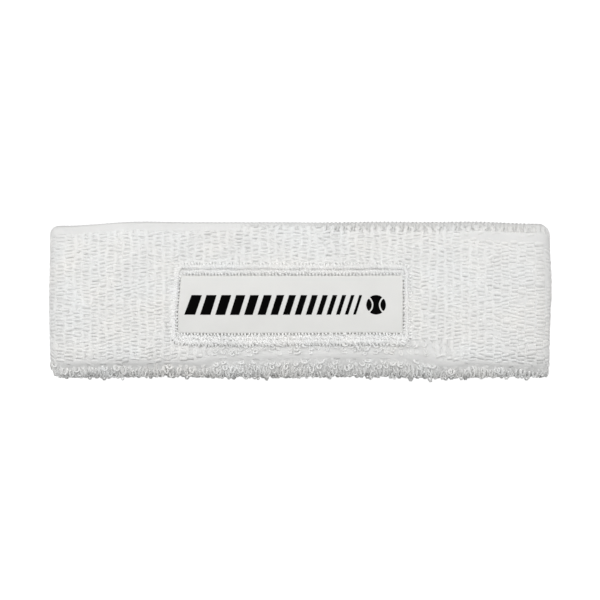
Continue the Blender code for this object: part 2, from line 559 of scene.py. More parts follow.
@dataclass(frozen=True)
class KnitFinish:
    """The ground knit between the ribs: small V stitches, seen at the bottom of the slots."""

    title: str
    light: Colour
    shade: Colour
    depth: float = 0.12 * MM
    roughness: float = 0.95
    specular: float = 0.2

    def material(self) -> bpy.types.Material:
        """Builds the material on the weave map, which counts wales and rows.

        A stitch's leg lies where sin(2 pi (row + |wale - 1/2|)) is high.

        Returns:
            The finished material.
        """
        graph = Graph(self.title)
        wale, row, _ = graph.map("weave")
        legs = ((row * 2.0 + (wale.fraction() - 0.5).size() * 1.6) * (2.0 * math.pi)).sine() * 0.5 + 0.5
        fuzz = graph.noise(graph.place(), 3000.0, 2.0)
        graph.bump(legs * 0.7 + fuzz * 0.3, 0.7, self.depth)
        patches = graph.noise(graph.place(), 140.0, 2.0).above(0.5, 0.5)
        colour = graph.blend(patches, self.shade, self.light)
        graph.dress({"Base Color": colour, "Roughness": self.roughness, "Specular IOR Level": self.specular})
        return graph.material


@dataclass(frozen=True)
class WovenFinish:
    """A close satin or plain weave of fine threads, on a weave map in metres."""

    title: str
    light: Colour
    shade: Colour
    thread: float = 0.22 * MM
    depth: float = 0.02 * MM
    roughness: float = 0.62
    specular: float = 0.3

    def material(self) -> bpy.types.Material:
        """Builds the material.

        The height is the product of sines along the warp and the weft, plus a fine grain.

        Returns:
            The finished material.
        """
        graph = Graph(self.title)
        warp, weft, uv = graph.map("weave")
        turn = 2.0 * math.pi / self.thread
        cross = (warp * turn).sine() * (weft * turn).sine() * 0.5 + 0.5
        grain = graph.noise(uv, 3500.0, 3.0)
        graph.bump(cross * 0.6 + grain * 0.4, 0.5, self.depth)
        cloud = (graph.noise(uv, 90.0, 3.0) * 0.75 + grain * 0.25).above(0.5, 0.4)
        colour = graph.blend(cloud, self.shade, self.light)
        graph.dress({"Base Color": colour, "Roughness": self.roughness, "Specular IOR Level": self.specular})
        return graph.material


@dataclass(frozen=True)
class InkFinish:
    """Matt black print on cloth, a little worn into the weave."""

    title: str = "black_print"
    dark: Colour = grey(0.0010, 0.0010)
    worn: Colour = grey(0.0035, 0.0035)
    depth: float = 0.02 * MM
    roughness: float = 0.95
    specular: float = 0.02

    def material(self) -> bpy.types.Material:
        """Builds the material, whose wear is fine noise.

        Returns:
            The finished material.
        """
        graph = Graph(self.title)
        grain = graph.noise(graph.place(), 3000.0, 3.0)
        graph.bump(grain, 0.3, self.depth)
        colour = graph.blend(grain, self.dark, self.worn)
        graph.dress({"Base Color": colour, "Roughness": self.roughness, "Specular IOR Level": self.specular})
        return graph.material


# ---------------------------------------------------------------------------------- the band


@dataclass
class Band:
    """The doubled terry wall as it lies: it takes surface coordinates to places.

    around is measured along the middle of the wall from the middle of the front, towards +X,
    over the right side fold, back under the band and over the left side fold. along is measured
    down the outer face from the seamed edge, round the folded edge and up the lining. height
    stands on the ground knit, away from the middle of the wall. corner_radii goes round from
    the right end of the seamed edge to its left end, then along the folded edge. A dip is how
    far an edge of the front wall sinks, and its reach is how far from the edge that begins.
    """

    elastic_diameter: float = 0.6 * MM
    gap: float = 0.3 * MM
    ground: float = 1.45 * MM
    edge_inset: float = 0.9 * MM
    wale_pitch: float = 2.87 * MM
    row_pitch: float = 1.33 * MM
    corner_radii: tuple[float, float, float, float] = (4.4 * MM, 3.0 * MM, 5.2 * MM, 1.6 * MM)
    fold_dip: float = 3.4 * MM
    fold_reach: float = 9.0 * MM
    seam_dip: float = 1.2 * MM
    seam_reach: float = 5.0 * MM
    sag: float = 0.7 * MM
    crown: float = 1.5 * MM
    end_reach: float = 16.0 * MM
    floor_gap: float = 0.22 * MM
    floor_blend: float = 0.95 * MM

    def __post_init__(self) -> None:
        """Reads the band's sizes from the CAD."""
        low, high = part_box("terry_tube")
        thread_low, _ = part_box("elastic_thread_01")
        self.half_length, self.half_width, self.tall = high.x, high.y, high.z
        self.wall = 2.0 * (thread_low.z + self.elastic_diameter / 2.0)
        self.cavity = self.elastic_diameter + 2.0 * self.gap
        self.turn_radius = (self.tall - self.wall) / 2.0
        self.run = self.half_length - self.tall / 2.0
        self.around_length = 4.0 * self.run + 2.0 * math.pi * self.turn_radius
        self.base = self.cavity / 2.0 + self.ground
        self.top = self.half_width - self.edge_inset
        self.fold = -self.half_width + self.wall / 2.0
        self.face = self.top - self.fold
        self.turn_length = math.pi * self.base
        self.along_length = 2.0 * self.face + self.turn_length
        self.wales = 2 * round(self.around_length / self.wale_pitch / 2.0)
        self.wale_pitch = self.around_length / self.wales
        self.rows = round(self.along_length / self.row_pitch)
        self.row_pitch = self.along_length / self.rows

    def loop_point(self, around: np.ndarray) -> tuple[np.ndarray, ...]:
        """The middle line's x and z, and its outward direction's x and z.

        Straight runs of 2 * run at the top and bottom, joined by half circles of turn_radius.

        Args:
            around: place round the band, in metres.

        Returns:
            x, z, outward x and outward z, each with one number for each place.
        """
        run, radius, middle = self.run, self.turn_radius, self.tall / 2.0
        fold = math.pi * radius
        place = np.mod(around + run, self.around_length) - run
        right = (place - run) / radius
        left = math.pi + (place - 3.0 * run - fold) / radius
        cases = [place < run, place < run + fold, place < 3.0 * run + fold]
        x = np.select(cases, [place, run + radius * np.sin(right), 2.0 * run + fold - place],
                      -run + radius * np.sin(left))
        z = np.select(cases, [radius + 0.0 * place, radius * np.cos(right), -radius + 0.0 * place],
                      radius * np.cos(left))
        out_x = np.select(cases, [0.0 * place, np.sin(right), 0.0 * place], np.sin(left))
        out_z = np.select(cases, [1.0 + 0.0 * place, np.cos(right), -1.0 + 0.0 * place], np.cos(left))
        return x, middle + z, out_x, out_z

    def section_point(self, along: np.ndarray, height: np.ndarray) -> tuple[np.ndarray, np.ndarray]:
        """Y, and the distance out of the wall's middle: two straight faces and a half circle.

        Args:
            along: place down the wall's section, in metres.
            height: distance from the ground knit's face, in metres.

        Returns:
            Y before settling, and the distance out of the wall's middle.
        """
        reach = self.base + height
        angle = np.clip((along - self.face) / self.base, 0.0, math.pi)
        down = np.minimum(along, self.face)
        back = np.maximum(along - self.face - self.turn_length, 0.0)
        across = self.top - down - reach * np.sin(angle) + back
        return across, reach * np.cos(angle)

    def free(self, around: np.ndarray, across: np.ndarray, out: np.ndarray) -> np.ndarray:
        """Places points out from the wall's middle and settles them.

        Args:
            around: place round the band, in metres.
            across: place across the band, in metres.
            out: distance out of the wall's middle, in metres.

        Returns:
            The settled points, (..., 3).
        """
        x, z, out_x, out_z = self.loop_point(around)
        shape = np.broadcast_shapes(x.shape, across.shape, out.shape)
        parts = (x + out * out_x, across, z + out * out_z)
        return self.settle(np.stack([np.broadcast_to(part, shape) for part in parts], -1))

    def thread(
        self, around: np.ndarray, across: np.ndarray, out: np.ndarray
    ) -> tuple[np.ndarray, np.ndarray]:
        """A thread's settled path or paths, and the direction across the band at each point.

        Args:
            around: place round the band, in metres.
            across: place across the band, in metres.
            out: distance out of the wall's middle, in metres.

        Returns:
            The path's points and the directions, both (..., 3).
        """
        paths = self.free(around, across, out)
        return paths, self.free(around, across + STEP, out) - paths

    def on(self, around: np.ndarray, along: np.ndarray, height: np.ndarray) -> np.ndarray:
        """Places points on the surface coordinates and settles them."""
        across, out = self.section_point(along, height)
        return self.free(around, across, out)

    def settle(self, points: np.ndarray) -> np.ndarray:
        """Lays the exact loop down as cloth lies.

        The front wall sags a little between the side folds and dips towards both long edges,
        in proportion to height over the floor; the long edges wander; the four corners round
        off; the side folds bulge; and what would be under the floor is pressed flat on it, as
        the height becomes half the sum of itself and the root of its square plus floor_blend's.

        Args:
            points: places on the exact loop, (..., 3).

        Returns:
            The same points on the settled band.
        """
        x, y, z = points[..., 0], points[..., 1], points[..., 2]
        high = np.clip(z / self.tall, 0.0, 1.3)
        middle = 1.0 - np.clip(np.abs(x) / self.half_length, 0.0, 1.0) ** 4
        to_fold = np.clip((-y - self.half_width + self.fold_reach) / self.fold_reach, 0.0, 1.3)
        to_seam = np.clip((y - self.half_width + self.seam_reach) / self.seam_reach, 0.0, 1.3)
        crown = self.crown * (y / self.half_width) ** 2
        dip = self.fold_dip * to_fold**1.6 + self.seam_dip * to_seam**2 + self.sag * middle + crown
        waves = 0.28 * MM * soft_noise(x, y * 0.6, 46.0 * MM, 3)
        waves = waves + 0.16 * MM * soft_noise(x, y, 19.0 * MM, 4)
        z = z - high * dip + high * waves * (0.4 + 0.6 * middle)

        seam_side = ramp(-6.0 * MM, self.half_width, y)
        fold_side = ramp(6.0 * MM, -self.half_width, y)
        slope = -1.3 * MM * ramp(-52.0 * MM, -92.0 * MM, x) - 0.9 * MM * ramp(62.0 * MM, 92.0 * MM, x)
        seam_line = slope + 0.4 * MM + 0.22 * MM * soft_noise(x, 0.0 * x, 42.0 * MM, 5)
        fold_line = 0.45 * MM * soft_noise(x, 0.0 * x, 36.0 * MM, 6) + 0.15 * MM
        y = y + seam_side * seam_line + fold_side * fold_line

        inward = self.half_length - np.abs(x)
        for radius, way_x, way_y in zip(self.corner_radii, (1, -1, -1, 1), (1, 1, -1, -1)):
            near = np.clip(1.0 - inward / radius, 0.0, 1.0) * (x * way_x > 0.0)
            cut = radius * (1.0 - np.sqrt(np.maximum(1.0 - near**2, 0.0)))
            y = y - way_y * cut * ramp(0.25, 1.0, y * way_y / self.half_width)

        out_end = ramp(self.half_length - self.end_reach, self.half_length, np.abs(x))
        right = 0.7 * MM * np.exp(-(((y - 4.0 * MM) / (13.0 * MM)) ** 2)) - 0.35 * MM
        left = 0.35 * MM * np.exp(-(((y + 2.0 * MM) / (15.0 * MM)) ** 2)) - 0.25 * MM
        x = x + out_end * np.where(x > 0.0, right, -left)
        lifted = 0.5 * (z + np.sqrt(z * z + self.floor_blend**2))
        return np.stack([x, y, self.floor_gap + lifted], -1)

    def fabric(self, around: np.ndarray, along: np.ndarray) -> "Fabric":
        """What the knit is like at these places.

        Args:
            around: place round the band, in metres.
            along: place down the wall's section, in metres.

        Returns:
            The fabric's shares at these places.
        """
        x, _, _, out_z = self.loop_point(around)
        across, out = self.section_point(along, 0.0 * along)
        return Fabric(self, x, across, out_z, out)


@dataclass
class Fabric:
    """How the terry differs from place to place: shares of 0 to 1 for each point.

    across is Y before settling, facing is the wall's outward Z, and out is the distance from
    the wall's middle, below 0 on the lining.
    """

    band: Band
    x: np.ndarray
    across: np.ndarray
    facing: np.ndarray
    out: np.ndarray
    fringe: float = 3.2 * MM
    top_strip: float = 3.8 * MM
    lining_curl: float = 0.55
    patch_curl: float = 0.30
    right_filled: float = 0.75
    right_raised: float = 0.35
    most_raised: float = 0.72

    def noise(self, scale: float, seed: int) -> np.ndarray:
        """Soft noise over the band's length and width."""
        return soft_noise(self.x, self.across, scale, seed)

    @property
    def front(self) -> np.ndarray:
        """1 on the outer face of the front wall."""
        return (self.facing > 0.9) * (self.out > 0.0) * 1.0

    @property
    def sway(self) -> np.ndarray:
        """How far the wales wander sideways, in metres."""
        return 0.50 * MM * self.noise(11.0 * MM, 21) + 0.30 * MM * self.noise(4.6 * MM, 22)

    @property
    def middle(self) -> np.ndarray:
        """1 below the label, falling to 0 at its two ends."""
        return ramp(-40.0 * MM, -26.0 * MM, self.x) * ramp(54.0 * MM, 42.0 * MM, self.x)

    @property
    def lower(self) -> np.ndarray:
        """How much closer to the folded edge the open pile begins near the right end, in metres."""
        return 1.2 * MM * ramp(62.0 * MM, 80.0 * MM, self.x)

    @property
    def to_fold(self) -> np.ndarray:
        """1 on the folded edge, where the pile stands open, falling to 0 above it.

        Returns:
            One share for each point.
        """
        wander = 0.5 * MM * self.noise(16.0 * MM, 11)
        start = -self.band.half_width + self.fringe + wander - self.lower
        return ramp(start + 1.5 * MM, start, self.across)

    @property
    def under_label(self) -> np.ndarray:
        """1 where the pile stands open below the label's lower border.

        Returns:
            One share for each point.
        """
        strip = ramp(-14.0 * MM, -16.0 * MM, self.across) * ramp(-19.4 * MM, -18.2 * MM, self.across)
        below = ramp(-20.6 * MM, -22.8 * MM, self.across)
        return self.front * self.middle * np.maximum(0.85 * strip, below)

    @property
    def smooth_band(self) -> np.ndarray:
        """1 on the flat strip between the label and the folded edge, lower beside the label.

        Returns:
            One share for each point.
        """
        low = mix(-24.6 * MM, -21.8 * MM, self.middle)
        high = mix(-21.2 * MM, -18.0 * MM, self.middle)
        across = self.across + self.lower
        strip = ramp(high + 0.3 * MM, high - 0.7 * MM, across) * ramp(low, low + 0.8 * MM, across)
        return self.front * strip

    @property
    def curl(self) -> np.ndarray:
        """How far the pile stands up in open loops instead of lying in flat rungs.

        Returns:
            One share for each point.
        """
        patches = self.patch_curl * ramp(0.6, 1.1, self.noise(15.0 * MM, 12)) * (1.0 - self.smooth_band)
        patches = patches * ramp(56.0 * MM, 46.0 * MM, self.x)
        lining = self.lining_curl * (self.out < 0.0)
        strips = np.maximum(self.to_fold, ramp(0.25, 0.70, self.under_label))
        return np.clip(strips + patches + lining, 0.0, 1.0)

    @property
    def filled(self) -> np.ndarray:
        """How far the slots between the rungs are closed.

        Returns:
            One share for each point.
        """
        right = self.right_filled * ramp(56.0 * MM, 70.0 * MM, self.x)
        patches = ramp(0.10, 0.80, self.noise(13.0 * MM, 13))
        patches = patches + 0.7 * ramp(0.2, 0.9, self.noise(5.5 * MM, 15))
        strips = 1.2 * self.edge_strip + self.smooth_band + self.corner_strip
        return np.clip(right + 0.8 * patches + strips, 0.0, 1.0)

    @property
    def edge_strip(self) -> np.ndarray:
        """1 on the smooth strip along the left half of the seamed edge.

        Returns:
            One share for each point.
        """
        top = self.band.half_width
        strip = ramp(top - self.top_strip, top - 2.6 * MM, self.across)
        return strip * ramp(-14.0 * MM, -30.0 * MM, self.x)

    @property
    def top_row(self) -> np.ndarray:
        """1 along the right half of the seamed edge, where the cells between the wales are bare.

        Returns:
            One share for each point.
        """
        top = self.band.half_width
        row = ramp(top - self.top_strip, top - 2.8 * MM, self.across)
        return row * ramp(0.0, 12.0 * MM, self.x) * ramp(88.0 * MM, 80.0 * MM, self.x)

    @property
    def corner_strip(self) -> np.ndarray:
        """1 on the smooth strip below the seamed edge, at its right end.

        Returns:
            One share for each point.
        """
        top = self.band.half_width
        strip = ramp(top - 7.4 * MM, top - 6.0 * MM, self.across)
        strip = strip * ramp(top - 2.9 * MM, top - 3.5 * MM, self.across)
        return strip * ramp(50.0 * MM, 60.0 * MM, self.x + 0.8 * MM * self.noise(7.0 * MM, 18))

    @property
    def raised(self) -> np.ndarray:
        """How far the ground comes up between the rungs: 1 is level with them.

        Returns:
            One share for each point.
        """
        patches = 0.30 * ramp(-0.1, 0.9, self.noise(9.0 * MM, 16))
        patches = patches + 0.20 * ramp(0.0, 0.8, self.noise(4.2 * MM, 17))
        right = self.right_raised * ramp(54.0 * MM, 70.0 * MM, self.x)
        smooth = self.smooth_band + self.edge_strip + self.ends + 0.9 * self.corner_strip
        over_label = 0.22 * ramp(11.0 * MM, 14.0 * MM, self.across)
        over_label = over_label * ramp(48.0 * MM, 40.0 * MM, np.abs(self.x))
        whole = np.clip(0.12 + patches + right - over_label - 0.9 * self.top_row, 0.0, self.most_raised)
        whole = np.maximum(whole, np.clip(smooth, 0.0, 1.0))
        return whole * (1.0 - self.curl) * (self.out > 0.0)

    @property
    def ends(self) -> np.ndarray:
        """1 on the side folds, where the pile is brushed smooth."""
        reach = np.maximum(ramp(-83.5 * MM, -87.5 * MM, self.x), ramp(82.0 * MM, 87.0 * MM, self.x))
        return 0.85 * reach * ramp(-0.1, 0.4, self.facing)

    @property
    def ribs(self) -> np.ndarray:
        """How far the wales stand out as ribs; low towards the right end, where rows show.

        Returns:
            One share for each point.
        """
        right = 0.75 * ramp(63.0 * MM, 76.0 * MM, self.x)
        smooth = self.edge_strip + self.smooth_band + self.corner_strip
        return np.clip(1.0 - right - 0.8 * smooth, 0.0, 1.0)


def keep(piece: bpy.types.Object, material: bpy.types.Material) -> bpy.types.Object:
    """Gives a finished piece its material, and lets it ride on the band.

    Args:
        piece: the mesh object.
        material: its finish.

    Returns:
        The same object.
    """
    piece.data.materials.append(material)
    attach(piece, BODY)
    log.info("%s: %d faces", piece.name, len(piece.data.polygons))
    return piece


@dataclass
class Footprint:
    """The label's outline on the front wall, under which the pile is pressed down."""

    corner: float = 3.2 * MM
    lean: float = 1.1 * MM

    def __post_init__(self) -> None:
        """Reads the label's place from its binding."""
        low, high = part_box("label_binding")
        self.middle = np.array([(low.x + high.x) / 2.0, (low.y + high.y) / 2.0])
        self.half = np.array([(high.x - low.x) / 2.0, (high.y - low.y) / 2.0])

    def skew(self, flat: np.ndarray) -> np.ndarray:
        """How far the label's left end leans in, for points about the label's middle."""
        upper = ramp(-6.0 * MM, 12.0 * MM, flat[..., 1])
        return self.lean * upper * ramp(-26.0 * MM, -42.0 * MM, flat[..., 0])

    def depth(self, x: np.ndarray, y: np.ndarray) -> np.ndarray:
        """How far inside the outline a point is: the signed distance of a round rectangle.

        Args:
            x: X of each point, in metres.
            y: Y of each point, in metres.

        Returns:
            The depth in metres, below 0 outside.
        """
        flat = np.stack([x, y], -1) - self.middle
        over_x = np.abs(flat[..., 0] - self.skew(flat)) - self.half[0] + self.corner
        over_y = np.abs(flat[..., 1]) - self.half[1] + self.corner
        outside = np.hypot(np.maximum(over_x, 0.0), np.maximum(over_y, 0.0))
        return self.corner - outside - np.minimum(np.maximum(over_x, over_y), 0.0)

    def pressed(self, fabric: Fabric) -> np.ndarray:
        """1 under the label and 0 beside it."""
        return ramp(0.6 * MM, 1.4 * MM, self.depth(fabric.x, fabric.across)) * fabric.front


@dataclass
class Terry:
    """The knitted terry: its ground, its wales as ribs, and the pile yarn between them.

    A rung is a pile loop that lies flat between two wales, and a loop is one that stands
    open. Each rung is rung_end thick at its two feet and rung_radius, or rung_filled where the
    knit is full, in its middle. Heights are over the ground knit's face.
    """

    band: Band
    footprint: Footprint
    pressed_depth: float = 1.1 * MM
    ground_rise: float = 0.40 * MM
    fringe_depth: float = 0.30 * MM
    rib_radius: float = 1.05 * MM
    rib_flatten: float = 0.40
    rib_top: float = 0.42 * MM
    rib_wander: float = 0.42 * MM
    rung_radius: float = 0.50 * MM
    rung_end: float = 0.80 * MM
    rung_filled: float = 0.95 * MM
    rung_tall: float = 0.32 * MM
    filled_tall: float = 0.16 * MM
    rung_top: float = 0.42 * MM
    loop_radius: float = 0.34 * MM
    loop_half: float = 0.66 * MM
    loop_rise: float = 1.70 * MM
    foot: float = -0.35 * MM
    loop_points: int = 8
    first_row: float = 0.9
    jitter: float = 0.07 * MM
    level_jitter: float = 0.06 * MM
    sunk_by_ground: float = 0.10 * MM
    slant: float = 0.20 * MM
    drift: float = 0.17 * MM
    scatter: float = 0.35 * MM
    rung_power: float = 0.42
    swell: float = 0.18
    fringe_taller: float = 0.70
    fold_shorter: float = 0.35

    def build(self, yarn: bpy.types.Material, knit: bpy.types.Material) -> None:
        """Builds all the knit's pieces, with the ground first.

        Args:
            yarn: the finish of the wales and the pile.
            knit: the finish of the ground.
        """
        ground = keep(self.ground().add_to("terry_ground"), knit)
        pieces = [keep(p, yarn) for p in self.rib_pieces() + self.pile_pieces()]
        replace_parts(ground, "terry_tube")
        flat = (self.band.around_length, 2.0 * self.band.half_width * 2.0)

    def ground(self) -> Surface:
        """The ground knit, a closed cloth folded double.

        The section runs down the outer face, round the fold and up the lining, then back
        along the cavity; half circles close the layers' edges.

        Returns:
            The cloth, with wales and rows counted on its weave map.
        """
        band = self.band
        half = band.ground / 2.0
        along = np.linspace(0.0, band.along_length, 2 * band.rows + 1)
        across, out = band.section_point(along, -0.02 * MM + 0.0 * along)
        turn = np.linspace(0.0, math.pi, 6)[1:-1]
        back = np.linspace(band.along_length, 0.0, 40)
        fold_angle = np.clip((back - band.face) / band.base, 0.0, math.pi)
        down = np.minimum(back, band.face)
        up = np.maximum(back - band.face - band.turn_length, 0.0)
        inner = band.cavity / 2.0
        back_across = band.top - down - inner * np.sin(fold_angle) + up
        back_out = inner * np.cos(fold_angle)
        edge_y = band.top + half * np.sin(turn)
        edge_out = inner + half - half * np.cos(turn)
        across = np.concatenate([across, edge_y, back_across, edge_y])
        out = np.concatenate([out, edge_out - 2.0 * (inner + half), back_out, edge_out])
        around = np.arange(2 * band.wales) * band.wale_pitch / 2.0
        around_grid, across_grid = np.meshgrid(around, across, indexing="ij")
        out_grid = np.broadcast_to(out, around_grid.shape).copy()
        x, _, _, out_z = band.loop_point(around_grid)
        fabric = Fabric(band, x, across_grid, out_z, out_grid - inner - half)
        pressed = self.footprint.pressed(fabric)
        out_grid += self.ground_rise * fabric.raised - self.pressed_depth * pressed
        low = np.maximum(fabric.to_fold, fabric.top_row)
        out_grid -= self.fringe_depth * low * ramp(0.0, 0.6 * MM, fabric.out)
        points = band.free(around_grid, across_grid, out_grid)
        wales = np.arange(2 * band.wales + 1) / 2.0
        rows = np.linspace(0.0, 2.0 * band.rows, len(across) + 1)
        return wrapped_grid(points, np.stack(np.meshgrid(wales, rows, indexing="ij"), -1))

    def rib_pieces(self) -> list[bpy.types.Object]:
        """The wales: a wavy strand over each column of stitches, on the outer face and the lining.

        A strand's sideways place is wander * triangle wave of the row, plus the sway, and its
        radius swells at random from row to row.

        Returns:
            The outer wales and the lining's, as two objects.
        """
        band = self.band
        middle = band.face + band.turn_length * 0.75
        first = self.first_row * band.row_pitch
        spans = {"terry_wales_outer": (0.35 * band.row_pitch, middle),
                 "terry_wales_lining": (middle, band.along_length - first)}
        made = []
        for number, (name, (start, end)) in enumerate(spans.items()):
            steps = 2 * round((end - start) / band.row_pitch) + 1
            wale = np.arange(band.wales)
            places = np.linspace(start, end, steps)
            around, along = np.meshgrid(wale * band.wale_pitch, places, indexing="ij")
            fabric = band.fabric(around, along)
            zigzag = (1.0 - 2.0 * (np.arange(steps) % 2)) * (1.0 - 2.0 * (wale % 2))[:, None]
            draw = np.random.default_rng(20 + number)
            jitter = draw.normal(0.0, 1.0, around.shape).clip(-2.0, 2.0)
            swell = 1.0 + self.swell * draw.normal(0.0, 1.0, around.shape).clip(-2.0, 2.0)
            shift = self.rib_wander * (zigzag + 0.5 * jitter) + fabric.sway
            pressed = self.footprint.pressed(fabric)
            top = self.rib_top * (0.35 + 0.65 * fabric.ribs) - 0.30 * MM * fabric.curl
            height = top - self.rib_flatten * self.rib_radius + self.jitter * jitter
            height = height - self.sunk_by_ground * fabric.raised**2
            height = mix(height, -self.pressed_depth - 0.25 * MM, pressed)
            ends = np.minimum(np.arange(steps), np.arange(steps)[::-1])
            height = height - 0.3 * MM * (ends == 0)
            paths = band.on(around + shift, along, height)
            sideways = band.on(around + shift + STEP, along, height) - paths
            radius = self.rib_radius * swell * (1.0 - 0.3 * fabric.curl) * (1.0 - 0.75 * pressed)
            surface = strands(paths, radius, sideways, columns=1, flatten=self.rib_flatten)
            made.append(surface.add_to(name))
        return made

    def pile_pieces(self) -> list[bpy.types.Object]:
        """The pile yarn, one loop in each slot between two wales, in pieces by zone.

        Returns:
            One object for each zone.
        """
        band = self.band
        wale, row = np.meshgrid(np.arange(band.wales), np.arange(band.rows), indexing="ij")
        wale, row = wale.ravel(), row.ravel()
        around = (wale + 0.5) * band.wale_pitch
        along = (row + 0.30 + 0.5 * (wale % 2)) * band.row_pitch
        fabric = band.fabric(around, along)
        depth = self.footprint.depth(fabric.x, fabric.across)
        inside = (depth > 2.0 * MM) & (fabric.front > 0.5)
        first = self.first_row * band.row_pitch
        later = ramp(2.0 * MM, 14.0 * MM, fabric.x) + ramp(-12.0 * MM, -28.0 * MM, fabric.x)
        bare = first + band.row_pitch * later * (fabric.facing > 0.0)
        sloping = (fabric.curl > 0.31) | (fabric.to_fold > 0.0) | (fabric.under_label > 0.0)
        between = sloping & (fabric.curl < 0.7) & (fabric.out > 0.0)
        shown = ~inside & ~between & (along > bare) & (along < band.along_length - first)
        outer = along < band.face - 1.5 * MM
        lining = along > band.face + band.turn_length + 1.5 * MM
        front, back = fabric.facing > 0.99, fabric.facing < -0.99
        zones = {
            "terry_pile_front": outer & front,
            "terry_pile_back": outer & back,
            "terry_pile_side_folds": outer & ~front & ~back,
            "terry_pile_folded_edge": ~outer & ~lining,
            "terry_pile_lining_front": lining & (fabric.facing > 0.0),
            "terry_pile_lining_back": lining & (fabric.facing <= 0.0),
        }
        draw = np.random.default_rng(31)
        chance = draw.normal(0.0, 1.0, (len(around), 8)).clip(-2.2, 2.2)
        made = []
        for name, zone in zones.items():
            chosen = shown & zone
            spots, rows, luck = around[chosen], along[chosen], chance[chosen]
            if name == "terry_pile_folded_edge":
                side = 0.25 * band.wale_pitch
                spots = np.concatenate([spots - side, spots + side])
                rows, luck = np.tile(rows, 2), np.concatenate([luck, np.roll(luck, 3, 1)])
                kept = luck[:, 7] > np.where(rows < band.face + 0.3 * band.turn_length, -0.7, -0.3)
                spots, rows, luck = spots[kept], rows[kept], luck[kept]
            made.append(self.loops(spots, rows, luck).add_to(name))
        return made

    def loops(self, around: np.ndarray, along: np.ndarray, chance: np.ndarray) -> Surface:
        """Pile loops about these places.

        A flat loop is a rung: a half turn whose height is the sine of its angle to a low
        power. A curled one is three quarters of a turn, narrow at its foot, that stands
        loop_rise tall, tilts towards the folded edge and turns about its foot.

        Args:
            around: each loop's place around the band.
            along: each loop's place along the section.
            chance: eight normal draws for each loop.

        Returns:
            The loops as strands.
        """
        band = self.band
        fabric = band.fabric(around, along)
        draws = chance[:, :, None]
        curl = np.clip(fabric.curl + 0.10 * chance[:, 0] * (fabric.curl > 0.02), 0.0, 1.0)[:, None]
        filled = np.clip(fabric.filled + 0.30 * chance[:, 6], 0.0, 1.0)
        filled = np.maximum(filled, 1.15 * fabric.ends)[:, None]
        fold_middle = band.face + band.turn_length / 2.0
        part = np.linspace(0.0, 1.0, self.loop_points)[None, :]
        angle = math.pi * mix(part, 1.5 * part - 0.25, curl)
        curled_half = self.loop_half * (1.0 + 0.15 * draws[:, 1])
        half = mix(0.5 * band.wale_pitch + 0.10 * MM, curled_half, curl)
        sideways = -half * np.cos(angle)
        turned_up = np.sin(angle)

        tall = mix(self.rung_tall, self.filled_tall, filled.clip(0.0, 1.0))
        level = self.rung_top - tall + self.level_jitter * draws[:, 2]
        level = level - self.sunk_by_ground * fabric.raised[:, None] ** 2
        lying = self.foot + (level - self.foot) * turned_up.clip(0.0, 1.0) ** self.rung_power
        slant = self.slant * (draws[:, 3] + 1.1 * fabric.noise(13.0 * MM, 14)[:, None])
        drift = self.drift * draws[:, 4] * turned_up

        around_edge = ramp(-2.2 * MM, -0.8 * MM, along - fold_middle)[:, None]
        edge = ramp(-5.4 * MM, -4.4 * MM, along - fold_middle)[:, None] * (1.0 - around_edge)
        rise = self.loop_rise * (1.0 + self.fringe_taller * edge - self.fold_shorter * around_edge)
        standing = rise * (1.0 + 0.2 * draws[:, 2]) * (turned_up + 0.7) / 1.7
        tilt = mix(mix(0.95, 1.25, edge), 0.25, around_edge) + (0.35 - 0.15 * edge) * draws[:, 4]
        tilt = curl * np.clip(tilt, -0.4, 1.40)
        freedom = (0.35 + 0.65 * (fabric.facing > 0.9))[:, None]
        yaw = curl * (0.42 - 0.10 * edge) * draws[:, 5] * freedom
        height = mix(lying, self.foot + standing * np.cos(tilt), curl)
        ahead = mix(drift - slant * np.cos(angle), standing * np.sin(tilt), curl)

        foot = around[:, None] + fabric.sway[:, None] + curl * self.scatter * draws[:, 7]
        at_around = foot + sideways * np.cos(yaw) - ahead * np.sin(yaw)
        at_along = along[:, None] + sideways * np.sin(yaw) + ahead * np.cos(yaw)
        pressed = self.footprint.pressed(band.fabric(at_around, at_along))
        height = mix(height, -self.pressed_depth - 0.1 * MM, pressed)
        paths = band.on(at_around, at_along, height)
        beside = band.on(
            at_around + STEP * np.sin(yaw) * np.cos(tilt),
            at_along - STEP * np.cos(yaw) * np.cos(tilt),
            height + STEP * np.sin(tilt),
        )
        thick = mix(self.rung_radius, self.rung_filled, filled) * (1.0 + 0.08 * draws[:, 6])
        thick = mix(thick, self.loop_radius * (1.0 - 0.12 * edge + 0.12 * draws[:, 6]), curl)
        middle = np.clip(2.6 * turned_up - 1.6, 0.0, 1.0)
        rung = mix(np.maximum(self.rung_end, thick), thick, middle)
        radius = mix(rung, thick * (0.80 + 0.20 * turned_up.clip(0.0, 1.0)), curl)
        flatten = mix(tall / thick, 1.0, curl)
        return strands(paths, radius, beside - paths, sides=5, flatten=flatten)


